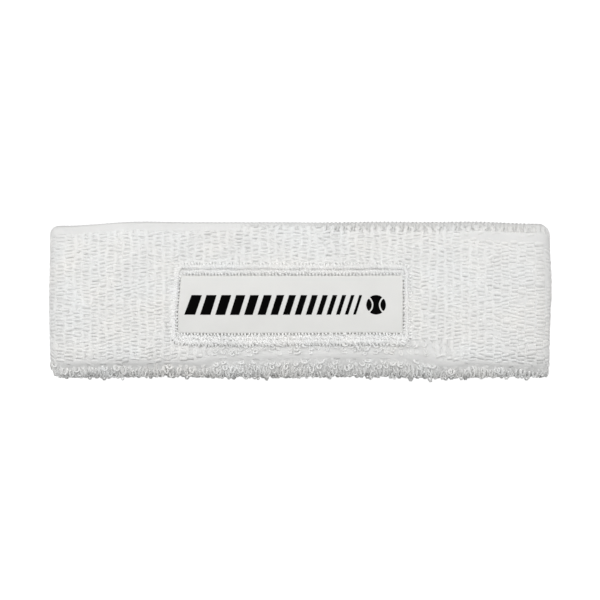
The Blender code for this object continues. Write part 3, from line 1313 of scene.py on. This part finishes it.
@dataclass
class Seam:
    """The closing seam: a bead between the two cut edges and overlock thread wrapped over them."""

    band: Band
    thread: float = 0.21 * MM
    flatten: float = 0.34
    reach: float = 2.3 * MM
    over_edge: float = 0.42 * MM
    depth: float = 2.0 * MM
    sunk_depth: float = 0.30 * MM
    slant: float = 0.45 * MM

    def build(self, yarn: bpy.types.Material) -> bpy.types.Object:
        """Builds the seam as one piece.

        Args:
            yarn: the finish of its threads.

        Returns:
            The seam, which stands for the CAD's.
        """
        parts = [self.bead(), self.wraps(), self.needle_line()]
        seam = keep(joined(parts).add_to("closing_seam_thread"), yarn)
        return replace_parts(seam, "closing_seam")

    def bead(self) -> Surface:
        """The bead of looper threads that fills the slit, once round the band.

        Returns:
            The bead.
        """
        low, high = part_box("closing_seam")
        around = np.arange(4 * self.band.wales) * self.band.wale_pitch / 4.0
        across = (low.y + high.y) / 2.0 + 0.15 * MM * np.sin(around * 2.0 * math.pi / self.band.wale_pitch)
        path, side = self.band.thread(around, across, 0.0 * around)
        radius = np.full((1, len(path)), (high.y - low.y) / 2.0 - 0.15 * MM)
        return strands(path[None], radius, side[None], closed=True, flatten=self.flatten, sheet=(0.0, 0.1))

    def wraps(self) -> Surface:
        """Two slanted turns of thread over both edges for each wale, sunk where the edge is full.

        The turn is a superellipse about the wall's middle, open towards the body of the band.

        Returns:
            The turns of thread.
        """
        band = self.band
        count, steps = 2 * band.wales, 11
        draw = np.random.default_rng(41)
        angle = np.linspace(-0.32 * math.pi, 1.32 * math.pi, steps)[None, :]
        around = (np.arange(count) * band.wale_pitch / 2.0)[:, None] + 0.0 * angle
        around = around + self.slant * np.cos(angle) + 0.08 * MM * draw.normal(0.0, 1.0, (count, 1))
        x, _, _, _ = band.loop_point(around)
        sunk = self.sunk_depth * ramp(14.0 * MM, 4.0 * MM, x) * (np.cos(angle) > -0.2)
        out_share = np.sign(np.cos(angle)) * np.abs(np.cos(angle)) ** 0.6
        up_share = np.sign(np.sin(angle)) * np.abs(np.sin(angle)) ** 0.7
        out = (band.base + self.over_edge - sunk) * out_share
        across = band.top - 1.1 * MM + (self.depth - 0.5 * sunk) * up_share
        ends = np.minimum(np.arange(steps), np.arange(steps)[::-1])
        out = out * (1.0 - 0.22 * (ends == 0))
        paths = band.free(around, across, out)
        side = band.free(around + STEP, across, out) - paths
        radius = np.full(paths.shape[:2], self.thread)
        return strands(paths, radius, side, sides=5, columns=8, sheet=(0.1, 0.8))

    def needle_line(self) -> Surface:
        """The needle thread's line of stitches along the outer face, one for each half wale.

        Returns:
            The stitches.
        """
        band = self.band
        count, steps = 2 * band.wales, 7
        part = np.linspace(-0.5, 0.5, steps)[None, :]
        around = (np.arange(count)[:, None] + 0.8 * part) * band.wale_pitch / 2.0
        sink = (np.abs(part) / 0.5) ** 3
        out = band.base + (0.20 - 0.55 * sink) * MM + 0.0 * around
        across = band.top - self.reach + 0.10 * MM * np.sin(around * 700.0) + 0.0 * around
        paths, side = band.thread(around, across, out)
        radius = np.full(paths.shape[:2], self.thread * 0.8)
        return strands(paths, radius, side, sides=5, columns=16, sheet=(0.8, 1.0))


@dataclass
class Elastic:
    """The covered elastic threads laid in between the two layers."""

    band: Band
    count: int = 12
    share: float = 0.45

    def build(self, yarn: bpy.types.Material) -> list[bpy.types.Object]:
        """Builds one ring of thread for each of the CAD's.

        Args:
            yarn: the finish of the threads.

        Returns:
            The rings, in the order of the CAD's.
        """
        made = []
        around = np.arange(2 * self.band.wales) * self.band.wale_pitch / 2.0
        for number in range(1, self.count + 1):
            node = f"elastic_thread_{number:02d}"
            low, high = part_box(node)
            across = np.full(around.shape, (low.y + high.y) / 2.0)
            path, side = self.band.thread(around, across, 0.0 * around)
            radius = np.full((1, len(path)), self.share * self.band.elastic_diameter)
            ring = strands(path[None], radius, side[None], closed=True).add_to(f"elastic_{number:02d}")
            made.append(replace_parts(keep(ring, yarn), node))
        return made


# ---------------------------------------------------------------------------------- the label


@dataclass
class Edges:
    """A number for each side of the label: left, right, top and bottom."""

    left: float
    right: float
    top: float
    bottom: float

    def at(self, away: np.ndarray) -> np.ndarray:
        """The number towards each direction: the sides' numbers weighed by its squares."""
        sideways = np.where(away[..., 0] > 0.0, self.right, self.left) * away[..., 0] ** 2
        return sideways + np.where(away[..., 1] > 0.0, self.top, self.bottom) * away[..., 1] ** 2


def in_space(directions: np.ndarray) -> np.ndarray:
    """Directions on the label's plane as level ones in space."""
    return np.concatenate([directions, np.zeros((len(directions), 1))], -1)


@dataclass
class Row:
    """A line of sewing about the label's middle: its points, outward directions and length."""

    points: np.ndarray
    away: np.ndarray
    step: float

    @property
    def ahead(self) -> np.ndarray:
        """The direction of the line at each point."""
        return np.stack([-self.away[:, 1], self.away[:, 0]], -1)

    def every(self, stride: int) -> "Row":
        """Every so many points of the line."""
        return Row(self.points[::stride], self.away[::stride], self.step * stride)

    def sides(self, steps: int) -> np.ndarray:
        """The line's level direction at each point, for each of a crossing thread's steps."""
        return np.repeat(in_space(self.ahead)[:, None, :], steps, 1)

    def beside(self, across: np.ndarray, along: np.ndarray) -> np.ndarray:
        """Points that lie this far outwards and along the line from each of its points."""
        outwards = self.points[:, None, :] + self.away[:, None, :] * across[..., None]
        return outwards + self.ahead[:, None, :] * along[..., None]

    def moved(self, distance: np.ndarray) -> "Row":
        """The line pushed outwards by a distance at each point."""
        return Row(self.points + self.away * distance[:, None], self.away, self.step)


def frame_row(half: np.ndarray, inset: Edges, corner: float, pitch: float) -> Row:
    """A closed round-cornered rectangle, inset from the label's outline, counter-clockwise.

    The outline is drawn with 12 steps to a corner and walked in equal lengths.

    Args:
        half: half the label's length and width.
        inset: how far each side lies inside the outline.
        corner: the corners' radius.
        pitch: the wished distance between points.

    Returns:
        The line.
    """
    low = np.array([inset.left - half[0], inset.bottom - half[1]]) + corner
    high = np.array([half[0] - inset.right, half[1] - inset.top]) - corner
    turn = np.linspace(0.0, math.pi / 2.0, 13)
    centres = ((high[0], high[1]), (low[0], high[1]), (low[0], low[1]), (high[0], low[1]))
    corners = [
        np.stack([x + corner * np.cos(turn + quarter * math.pi / 2.0),
                  y + corner * np.sin(turn + quarter * math.pi / 2.0)], -1)
        for quarter, (x, y) in enumerate(centres)
    ]
    outline = np.concatenate(corners + [corners[0][:1]])
    walked = np.concatenate([[0.0], np.cumsum(np.linalg.norm(np.diff(outline, axis=0), axis=1))])
    count = round(walked[-1] / pitch)
    at = np.arange(count) * walked[-1] / count
    points = np.stack([np.interp(at, walked, outline[:, axis]) for axis in (0, 1)], -1)
    forward = unit(np.roll(points, -1, 0) - np.roll(points, 1, 0))
    return Row(points, np.stack([forward[:, 1], -forward[:, 0]], -1), walked[-1] / count)


def straight_row(start: float, end: float, y: float, pitch: float) -> Row:
    """A line along X at one height, whose outward direction is away from the label's middle.

    Args:
        start: X of its left end.
        end: X of its right end.
        y: its height on the label.
        pitch: the wished distance between points.

    Returns:
        The line.
    """
    count = round((end - start) / pitch) + 1
    x = np.linspace(start, end, count)
    way = math.copysign(1.0, y)
    x = x[::-1] if way > 0.0 else x
    points = np.stack([x, np.full(count, y)], -1)
    return Row(points, np.stack([np.zeros(count), np.full(count, way)], -1), (end - start) / (count - 1))


@dataclass
class Cord:
    """One ridge of the binding: a core under slanted wraps of embroidery thread."""

    label: "Label"
    row: Row
    closed: bool
    radius: Edges
    rough: Edges
    seed: int
    sheet: tuple[float, float]
    pitch: float = 0.60 * MM
    thread: float = 0.28 * MM
    flatten: float = 0.50
    slant: float = 0.60 * MM
    end_depth: float = 0.8 * MM
    end_length: float = 1.6 * MM

    def half_width(self, row: Row) -> np.ndarray:
        """The ridge's half width along a line: each side's own, with random swells."""
        lump = 1.0 + 0.09 * soft_noise(row.points[:, 0], row.points[:, 1], 3.6 * MM, self.seed)
        return self.radius.at(row.away) * lump

    def line(self, row: Row) -> Row:
        """The line with the ridge's slow wander, which is wider where the sewing is rough.

        Args:
            row: the line.

        Returns:
            The wandering line.
        """
        x, y = row.points[:, 0], row.points[:, 1]
        wander = 0.12 * MM * soft_noise(x, y, 9.0 * MM, self.seed + 1)
        shake = 0.16 * MM * soft_noise(x, y, 3.8 * MM, self.seed + 2)
        return row.moved(wander + self.rough.at(row.away) * shake)

    def ends(self, count: int, step: float) -> np.ndarray:
        """How far an open ridge has sunk at each point: 1 at its ends, 0 from end_length in.

        Args:
            count: how many points the ridge has.
            step: the distance between them.

        Returns:
            One share for each point.
        """
        if self.closed:
            return np.zeros(count)
        from_end = np.minimum(np.arange(count), np.arange(count)[::-1]) * step
        return np.clip(1.0 - from_end / self.end_length, 0.0, 1.0)

    def core(self) -> Surface:
        """The core, a flattened strand.

        Returns:
            The core.
        """
        row = self.line(self.row)
        radius = self.half_width(self.row) * (1.0 - 0.5 * self.ends(len(row.points), row.step))
        z = self.label.cord_level - self.end_depth * self.ends(len(row.points), row.step)
        paths = self.label.place(row.points, z)[None]
        side = in_space(row.away)[None]
        return strands(paths, radius[None], side, sides=10, closed=self.closed, flatten=self.flatten,
                       sheet=(self.sheet[0], mix(self.sheet[0], self.sheet[1], 0.3)))

    def wraps(self) -> Surface:
        """The wraps: arches over the core that lean along it, from groove to groove.

        Across is (half width + thread) * sin of the angle, and up is the same flattened times
        its cosine; along is slant times the angle's share of a quarter turn.

        Returns:
            The wraps.
        """
        stride = max(1, round(self.pitch / self.row.step))
        row, source = self.line(self.row).every(stride), self.row.every(stride)
        count = len(row.points)
        draws = normal_draws(self.seed, count, 5)[:, :, None]
        rough = self.rough.at(row.away)[:, None]
        angle = np.linspace(-0.66, 0.66, 7)[None, :] * math.pi
        radius = self.half_width(source)[:, None] + 0.5 * self.thread
        radius = radius * (1.0 + (0.03 + 0.10 * rough) * draws[:, 0])
        across = radius * np.sin(angle) + rough * 0.12 * MM * draws[:, 1]
        lean = self.slant * (1.0 + (0.20 + 0.7 * rough) * draws[:, 2]) * angle / (0.5 * math.pi)
        along = lean + 0.08 * MM * draws[:, 3] * (1.0 + rough)
        up = radius * self.flatten * np.cos(angle) * (1.0 + 0.20 * rough * draws[:, 4])
        sunk = self.end_depth * self.ends(count, row.step)[:, None]
        paths = self.label.place(row.beside(across, along), self.label.cord_level + up - sunk)
        side = row.sides(angle.size)
        thick = self.thread * (1.0 + 0.14 * draws[:, 1] * (0.5 + rough)) * (1.0 - 0.12 * np.abs(angle))
        return strands(paths, thick, side, sides=5,
                       sheet=(mix(self.sheet[0], self.sheet[1], 0.3), self.sheet[1]))


@dataclass
class Label:
    """The sewn label: backing, satin panel with a plain print, wrapped binding and stitches."""

    band: Band
    footprint: Footprint
    ridge: Edges = field(default_factory=lambda: Edges(0.98 * MM, 1.40 * MM, 1.12 * MM, 1.30 * MM))
    ridge_width: Edges = field(default_factory=lambda: Edges(0.82 * MM, 0.46 * MM, 0.70 * MM, 0.85 * MM))
    ridge_rough: Edges = field(default_factory=lambda: Edges(0.45, 0.1, 0.5, 1.5))
    window: Edges = field(default_factory=lambda: Edges(2.35 * MM, 2.45 * MM, 3.80 * MM, 4.05 * MM))
    second_inset: float = 2.80 * MM
    second_width: float = 0.52 * MM
    stitch_pitch: float = 1.20 * MM
    stitch_radius: float = 0.34 * MM
    stitch_arch: float = 0.25 * MM
    stitch_dive: float = 0.55 * MM
    groove: float = 0.78 * MM
    crown: float = 0.70 * MM
    print_height: float = 7.0 * MM
    print_start: float = -36.8 * MM
    bar_count: int = 15
    bar_wide: float = 3.9 * MM
    bar_thin: float = 1.0 * MM
    bar_gap: float = 1.75 * MM
    bar_slant: float = 0.32

    def __post_init__(self) -> None:
        """Reads the layers' heights from the CAD."""
        self.panel_low, self.panel_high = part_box("label_panel")
        self.tape_low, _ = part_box("label_binding")
        self.cord_level = self.tape_low.z - 0.18 * MM
        self.half = self.footprint.half

    def build(self, finishes: "Finishes") -> None:
        """Builds the label's pieces.

        Args:
            finishes: the materials.
        """
        backing = keep(self.backing().add_to("label_interfacing"), finishes.backing)
        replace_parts(backing, "label_backing")
        panel = keep(self.panel().add_to("label_satin"), finishes.satin)
        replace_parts(panel, "label_panel")
        ink = keep(self.print_marks().add_to("label_print"), finishes.ink)
        binding = keep(self.binding().add_to("label_border"), finishes.cord)
        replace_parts(binding, "label_binding")
        rows = {"label_stitch_inner": self.inner_stitches(), "label_stitch_outer": self.outer_stitches()}
        for node, row in rows.items():
            stitches = keep(row.add_to(node.replace("stitch", "threads")), finishes.cord)
            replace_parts(stitches, node)

    def place(self, flat: np.ndarray, z: np.ndarray) -> np.ndarray:
        """Points about the label's middle, at a height over the floor, settled with the band.

        Args:
            flat: points about the label's middle, (..., 2).
            z: their height over the floor.

        Returns:
            The settled points, (..., 3).
        """
        x = flat[..., 0] + self.footprint.skew(flat) + self.footprint.middle[0]
        y = flat[..., 1] + self.footprint.middle[1]
        return self.band.settle(np.stack([x, y, np.broadcast_to(z, x.shape)], -1))

    def rim(self, flat: np.ndarray) -> np.ndarray:
        """The distance inside the binding's window.

        Args:
            flat: points about the label's middle, (..., 2).

        Returns:
            The distance, below 0 outside.
        """
        x, y = flat[..., 0], flat[..., 1]
        sideways = np.minimum(x + self.half[0] - self.window.left, self.half[0] - self.window.right - x)
        upwards = np.minimum(y + self.half[1] - self.window.bottom, self.half[1] - self.window.top - y)
        return np.minimum(sideways, upwards)

    def face_height(self, flat: np.ndarray) -> np.ndarray:
        """The panel's height: crowned across its width, and drawn down at its stitched rim.

        Args:
            flat: points about the label's middle, (..., 2).

        Returns:
            The height over the floor before settling.
        """
        x, y = flat[..., 0], flat[..., 1]
        drawn = np.exp(-((np.maximum(self.rim(flat), 0.0) / (0.32 * MM)) ** 2))
        crown = self.crown * (1.0 - (y / self.half[1]) ** 2)
        folds = 0.12 * MM * soft_noise(x, y, 19.0 * MM, 51) + 0.03 * MM * soft_noise(x, y, 6.0 * MM, 52)
        return self.panel_high.z + (crown + folds) * (1.0 - drawn) - self.groove * drawn

    def grid(self, half: np.ndarray, fine: float, coarse: float) -> np.ndarray:
        """A rectangular grid about the label's middle, fine within 3 mm of its edges.

        Args:
            half: the grid's half length and half width.
            fine: the spacing near the edges.
            coarse: the spacing elsewhere.

        Returns:
            The grid's points, (rows, columns, 2).
        """
        axes = []
        for reach in half:
            inner = reach - 3.0 * MM
            edge = np.arange(0.0, 3.0 * MM, fine)
            middle = np.linspace(-inner, inner, max(3, round(2.0 * inner / coarse)))
            axes.append(np.concatenate([-reach + edge, middle, np.sort(reach - edge)]))
        across, up = np.meshgrid(axes[0], axes[1])
        return np.stack([across, up], -1)

    def panel(self) -> Surface:
        """The satin panel, which reaches under the binding.

        Returns:
            The panel.
        """
        half = np.array([self.panel_high.x - self.panel_low.x, self.panel_high.y - self.panel_low.y]) / 2.0
        flat = self.grid(half, 0.2 * MM, 0.55 * MM)
        height = self.face_height(flat)
        thick = 0.75 * (self.panel_high.z - self.panel_low.z)
        return slab(self.place(flat, height), self.place(flat, height - thick))

    def backing(self) -> Surface:
        """The interfacing under the panel.

        Returns:
            The interfacing.
        """
        low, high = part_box("label_backing")
        flat = self.grid(np.array([high.x - low.x, high.y - low.y]) / 2.0, 1.0 * MM, 2.0 * MM)
        top = np.full(flat.shape[:2], high.z - 0.68 * MM)
        return slab(self.place(flat, top), self.place(flat, top - 0.6 * (high.z - low.z)))

    def ribbon(self, left: np.ndarray, right: np.ndarray) -> Surface:
        """A patch of ink between two edges that run along +Y, lying on the panel.

        Args:
            left: points up its left edge, (rows, 2).
            right: and up its right edge.

        Returns:
            The patch, as a thin plate sunk into the panel.
        """
        share = np.linspace(0.0, 1.0, 7)[None, :, None]
        flat = mix(left[:, None, :], right[:, None, :], share)
        height = self.face_height(flat)
        return slab(self.place(flat, height + 0.06 * MM), self.place(flat, height - 0.10 * MM))

    def print_marks(self) -> Surface:
        """The print: a row of slanted bars that grow thinner, and a ball with two seams.

        Returns:
            All the ink as one surface.
        """
        parts = []
        rows = np.linspace(-0.5, 0.5, 13) * self.print_height
        lean = rows * self.bar_slant
        start = self.print_start
        for number in range(self.bar_count):
            share = number / (self.bar_count - 1)
            width = self.bar_wide + (self.bar_thin - self.bar_wide) * share
            left = np.stack([start + lean, rows], -1)
            parts.append(self.ribbon(left, left + [width, 0.0]))
            start += width + self.bar_gap
        parts += self.ball(start + self.print_height * 0.62)
        return joined(parts)

    def ball(self, middle: float) -> list[Surface]:
        """A disc cut by two seam lines, each an arc of a circle beside it.

        Args:
            middle: X of the ball's middle.

        Returns:
            The piece between the seams and the two beside them.
        """
        radius, seam_radius = self.print_height / 2.0, self.print_height * 0.46
        seam_middle, line = radius * 1.28, 0.28 * MM
        rows = radius * np.sin(np.linspace(-0.5, 0.5, 25) * math.pi * 0.995)
        rim = np.sqrt(radius**2 - rows**2)

        def seam(offset: float) -> np.ndarray:
            """The seam's distance from the ball's middle line, with the line's half width added."""
            reach = np.maximum((seam_radius + offset) ** 2 - rows**2, 0.0)
            return np.minimum(seam_middle - np.sqrt(reach), rim)

        inner, outer = seam(line), seam(-line)
        kept = rim - outer > 0.02 * MM
        edges = [(middle - inner, middle + inner, rows)]
        for way in (-1.0, 1.0):
            near, far = middle + way * outer[kept], middle + way * rim[kept]
            edges.append((np.minimum(near, far), np.maximum(near, far), rows[kept]))
        return [self.ribbon(np.stack([a, y], -1), np.stack([b, y], -1)) for a, b, y in edges]

    def binding(self) -> Surface:
        """The binding: a wrapped ridge all round, a second along each long side, and the tape.

        Returns:
            The cords and the tape as one surface.
        """
        fine = 0.22 * MM
        ring = frame_row(self.half, self.ridge, 2.4 * MM, fine)
        cords = [Cord(self, ring, True, self.ridge_width, self.ridge_rough, 61, (0.0, 0.4))]
        start = -self.half[0] + self.window.left - 0.5 * MM
        end = self.half[0] - self.window.right + 0.5 * MM
        width = Edges(*[self.second_width] * 4)
        for number, (way, rough) in enumerate(((1.0, 0.5), (-1.0, 1.4))):
            row = straight_row(start, end, way * (self.half[1] - self.second_inset), fine)
            sheet = (0.42 + 0.2 * number, 0.60 + 0.2 * number)
            cords.append(Cord(self, row, False, width, Edges(*[rough] * 4), 66 + 5 * number, sheet))
        made = [part for cord in cords for part in (cord.core(), cord.wraps())]
        return joined(made + [self.tape()])

    def tape(self) -> Surface:
        """The flat tape under the cords, between the panel's window and the label's edge.

        Returns:
            The tape.
        """
        outer = frame_row(self.half, Edges(*[0.3 * MM] * 4), 3.0 * MM, 0.57 * MM).points
        share = (self.half - [2.3 * MM, 3.8 * MM]) / (self.half - 0.3 * MM)
        inner = outer * share
        bottom = self.tape_low.z - 0.60 * MM
        top = bottom + 0.2 * MM
        section = ((inner, top), (outer, top), (outer, bottom), (inner, bottom))
        corners = [self.place(line, z) for line, z in section]
        made = wrapped_grid(np.stack(corners, 1), np.zeros((len(outer) + 1, 5, 2)))
        shrunk = [group * [0.96, 0.15] + [0.02, 0.82] for group in made.maps["OFBake"]]
        return Surface(made.points, made.faces, {"yarn": made.maps["weave"], "OFBake": shrunk})

    def stitches(
        self, row: Row, inner: float, outer: float, low: float, high: float, seed: int
    ) -> Surface:
        """Short threads that cross a line from inside to outside.

        Args:
            row: the line that the threads cross, one thread at each point.
            inner: how far each thread reaches inside the line.
            outer: and how far outside it.
            low: the height of the thread's inner end, over the floor.
            high: the height of its outer end.
            seed: picks each stitch's slant, length and thickness.

        Returns:
            The threads.
        """
        draws = normal_draws(seed, len(row.points), 4)[:, :, None]
        part = np.linspace(0.0, 1.0, 7)[None, :]
        reach = (inner + outer) * (1.0 + 0.18 * draws[:, 0])
        across = -inner + reach * part + 0.07 * MM * draws[:, 1]
        along = (0.22 + 0.20 * draws[:, 2]) * MM * (part - 0.5) + 0.13 * MM * draws[:, 3]
        flat = row.beside(across, along)
        dive = self.stitch_dive * np.abs(2.0 * part - 1.0) ** 4
        z = low + (high - low) * part + self.stitch_arch * np.sin(part * math.pi) - dive
        paths = self.place(flat, np.broadcast_to(z, flat.shape[:2]))
        radius = self.stitch_radius * (1.0 + 0.15 * draws[:, 1]) + 0.0 * part
        return strands(paths, radius, row.sides(part.size), sides=5)

    def inner_stitches(self) -> Surface:
        """The stitches between the binding and the panel.

        Returns:
            The threads.
        """
        row = frame_row(self.half, self.window, 0.5 * MM, self.stitch_pitch)
        face = self.panel_high.z
        return self.stitches(row, 0.32 * MM, 0.42 * MM, face - 0.30 * MM, face + 0.30 * MM, 71)

    def outer_stitches(self) -> Surface:
        """The stitches between the binding and the terry.

        Returns:
            The threads.
        """
        row = frame_row(self.half, Edges(*[0.10 * MM] * 4), 3.2 * MM, self.stitch_pitch)
        face = self.panel_high.z
        return self.stitches(row, 0.45 * MM, 0.45 * MM, face + 0.30 * MM, face - 0.45 * MM, 72)


# ---------------------------------------------------------------------------------- the studio


@dataclass
class Finishes:
    """The materials that more than one piece wears."""

    cotton: bpy.types.Material
    knit: bpy.types.Material
    thread: bpy.types.Material
    cord: bpy.types.Material
    elastic: bpy.types.Material
    satin: bpy.types.Material
    backing: bpy.types.Material
    ink: bpy.types.Material

    @classmethod
    def make(cls) -> "Finishes":
        """Builds every material.

        Returns:
            The finishes.
        """
        return cls(
            cotton=YarnFinish("white_cotton_yarn", grey(0.90, 0.885), grey(0.84, 0.83)).material(),
            # The ground knit's colours are a little darker than the pile yarn's: painted shade for the slots
            # where the ground shows between the rungs.
            knit=KnitFinish("ground_knit_with_painted_shade", grey(0.86, 0.85), grey(0.82, 0.81)).material(),
            thread=YarnFinish("white_sewing_thread", grey(0.85, 0.84), grey(0.80, 0.79),
                              roughness=0.6, sheen=0.1, twist=0.7 * MM).material(),
            cord=YarnFinish("white_embroidery_thread", grey(0.97, 0.96), grey(0.93, 0.92), roughness=0.45,
                            sheen=0.15, specular=0.6, twist=0.62 * MM, plies=1.0).material(),
            elastic=YarnFinish("covered_elastic", grey(0.84, 0.82), grey(0.78, 0.76),
                               roughness=0.5, sheen=0.1, twist=0.5 * MM).material(),
            satin=WovenFinish("off_white_satin", grey(0.81, 0.79), grey(0.785, 0.765)).material(),
            backing=WovenFinish("white_interfacing", grey(0.78, 0.77), grey(0.72, 0.71),
                                thread=0.5 * MM, depth=0.05 * MM, roughness=0.9).material(),
            ink=InkFinish().material(),
        )


@dataclass
class Studio:
    """A plain white sweep, soft light from above and a camera that looks straight down."""

    frame_width: float = 0.2151
    camera_height: float = 1.6
    sensor: float = 36.0
    floor_size: float = 6.0
    floor_glow: float = 0.90
    world_strength: float = 0.20
    key_power: float = 5.9
    side_power: float = 5.5
    back_power: float = 1.6

    def build(self, band: Band) -> None:
        """Adds the floor, the lights, the world and the camera.

        Args:
            band: the headband, which the camera stands above.
        """
        self.floor()
        self.world()
        self.light("key", self.key_power, 0.8, (-0.10, 0.22, 1.1))
        self.light("left_box", self.side_power, 0.8, (-1.0, 0.12, 0.50))
        self.light("right_box", self.side_power, 0.8, (1.0, 0.07, 0.50))
        self.light("back_box", self.back_power, 0.6, (0.0, 1.2, 0.22))
        self.camera(band)
        bpy.context.scene.view_settings.view_transform = "Standard"

    def floor(self) -> None:
        """A level white floor."""
        half = self.floor_size / 2.0
        mesh = bpy.data.meshes.new("floor")
        corners = [(-half, -half, 0.0), (half, -half, 0.0), (half, half, 0.0), (-half, half, 0.0)]
        mesh.from_pydata(corners, [], [(0, 1, 2, 3)])
        floor = bpy.data.objects.new("floor", mesh)
        bpy.context.scene.collection.objects.link(floor)
        graph = Graph("white_floor")
        graph.dress({
            "Base Color": grey(0.30, 0.30),
            "Roughness": 1.0,
            "Specular IOR Level": 0.0,
            "Emission Color": WHITE,
            "Emission Strength": self.floor_glow,
        })
        mesh.materials.append(graph.material)
        floor.visible_diffuse = False

    def world(self) -> None:
        """Even white light from all round."""
        world = bpy.data.worlds.new("studio")
        world.use_nodes = True
        background = world.node_tree.nodes["Background"]
        background.inputs["Color"].default_value = WHITE
        background.inputs["Strength"].default_value = self.world_strength
        bpy.context.scene.world = world

    def light(self, name: str, power: float, size: float, place: tuple[float, float, float]) -> None:
        """A square soft light that faces the band.

        Args:
            name: the light's name.
            power: its power, in watts.
            size: its side, in metres.
            place: where it stands.
        """
        lamp = bpy.data.lights.new(name, "AREA")
        lamp.energy, lamp.size = power, size
        holder = bpy.data.objects.new(name, lamp)
        holder.location = place
        holder.rotation_euler = (-Vector(place)).to_track_quat("-Z", "Y").to_euler()
        bpy.context.scene.collection.objects.link(holder)

    def camera(self, band: Band) -> None:
        """A long lens straight above the band, with +Y up in the frame.

        Args:
            band: the headband below it.
        """
        lens = bpy.data.cameras.new("camera")
        lens.sensor_width = self.sensor
        lens.lens = self.sensor * self.camera_height / self.frame_width
        lens.clip_start, lens.clip_end = 0.01, 20.0
        holder = bpy.data.objects.new("camera", lens)
        holder.location = (0.0, 0.0, self.camera_height + band.tall / 2.0)
        bpy.context.scene.collection.objects.link(holder)
        bpy.context.scene.camera = holder


def main() -> None:
    """Builds the headband and its studio, and reports each piece."""
    logging.basicConfig(level=logging.INFO, format="%(name)s %(message)s")
    finishes = Finishes.make()
    band = Band()
    footprint = Footprint()
    Terry(band, footprint).build(finishes.cotton, finishes.knit)
    Seam(band).build(finishes.thread)
    Elastic(band).build(finishes.elastic)
    Label(band, footprint).build(finishes)
    Studio().build(band)


if __name__ == "__main__":
    main()
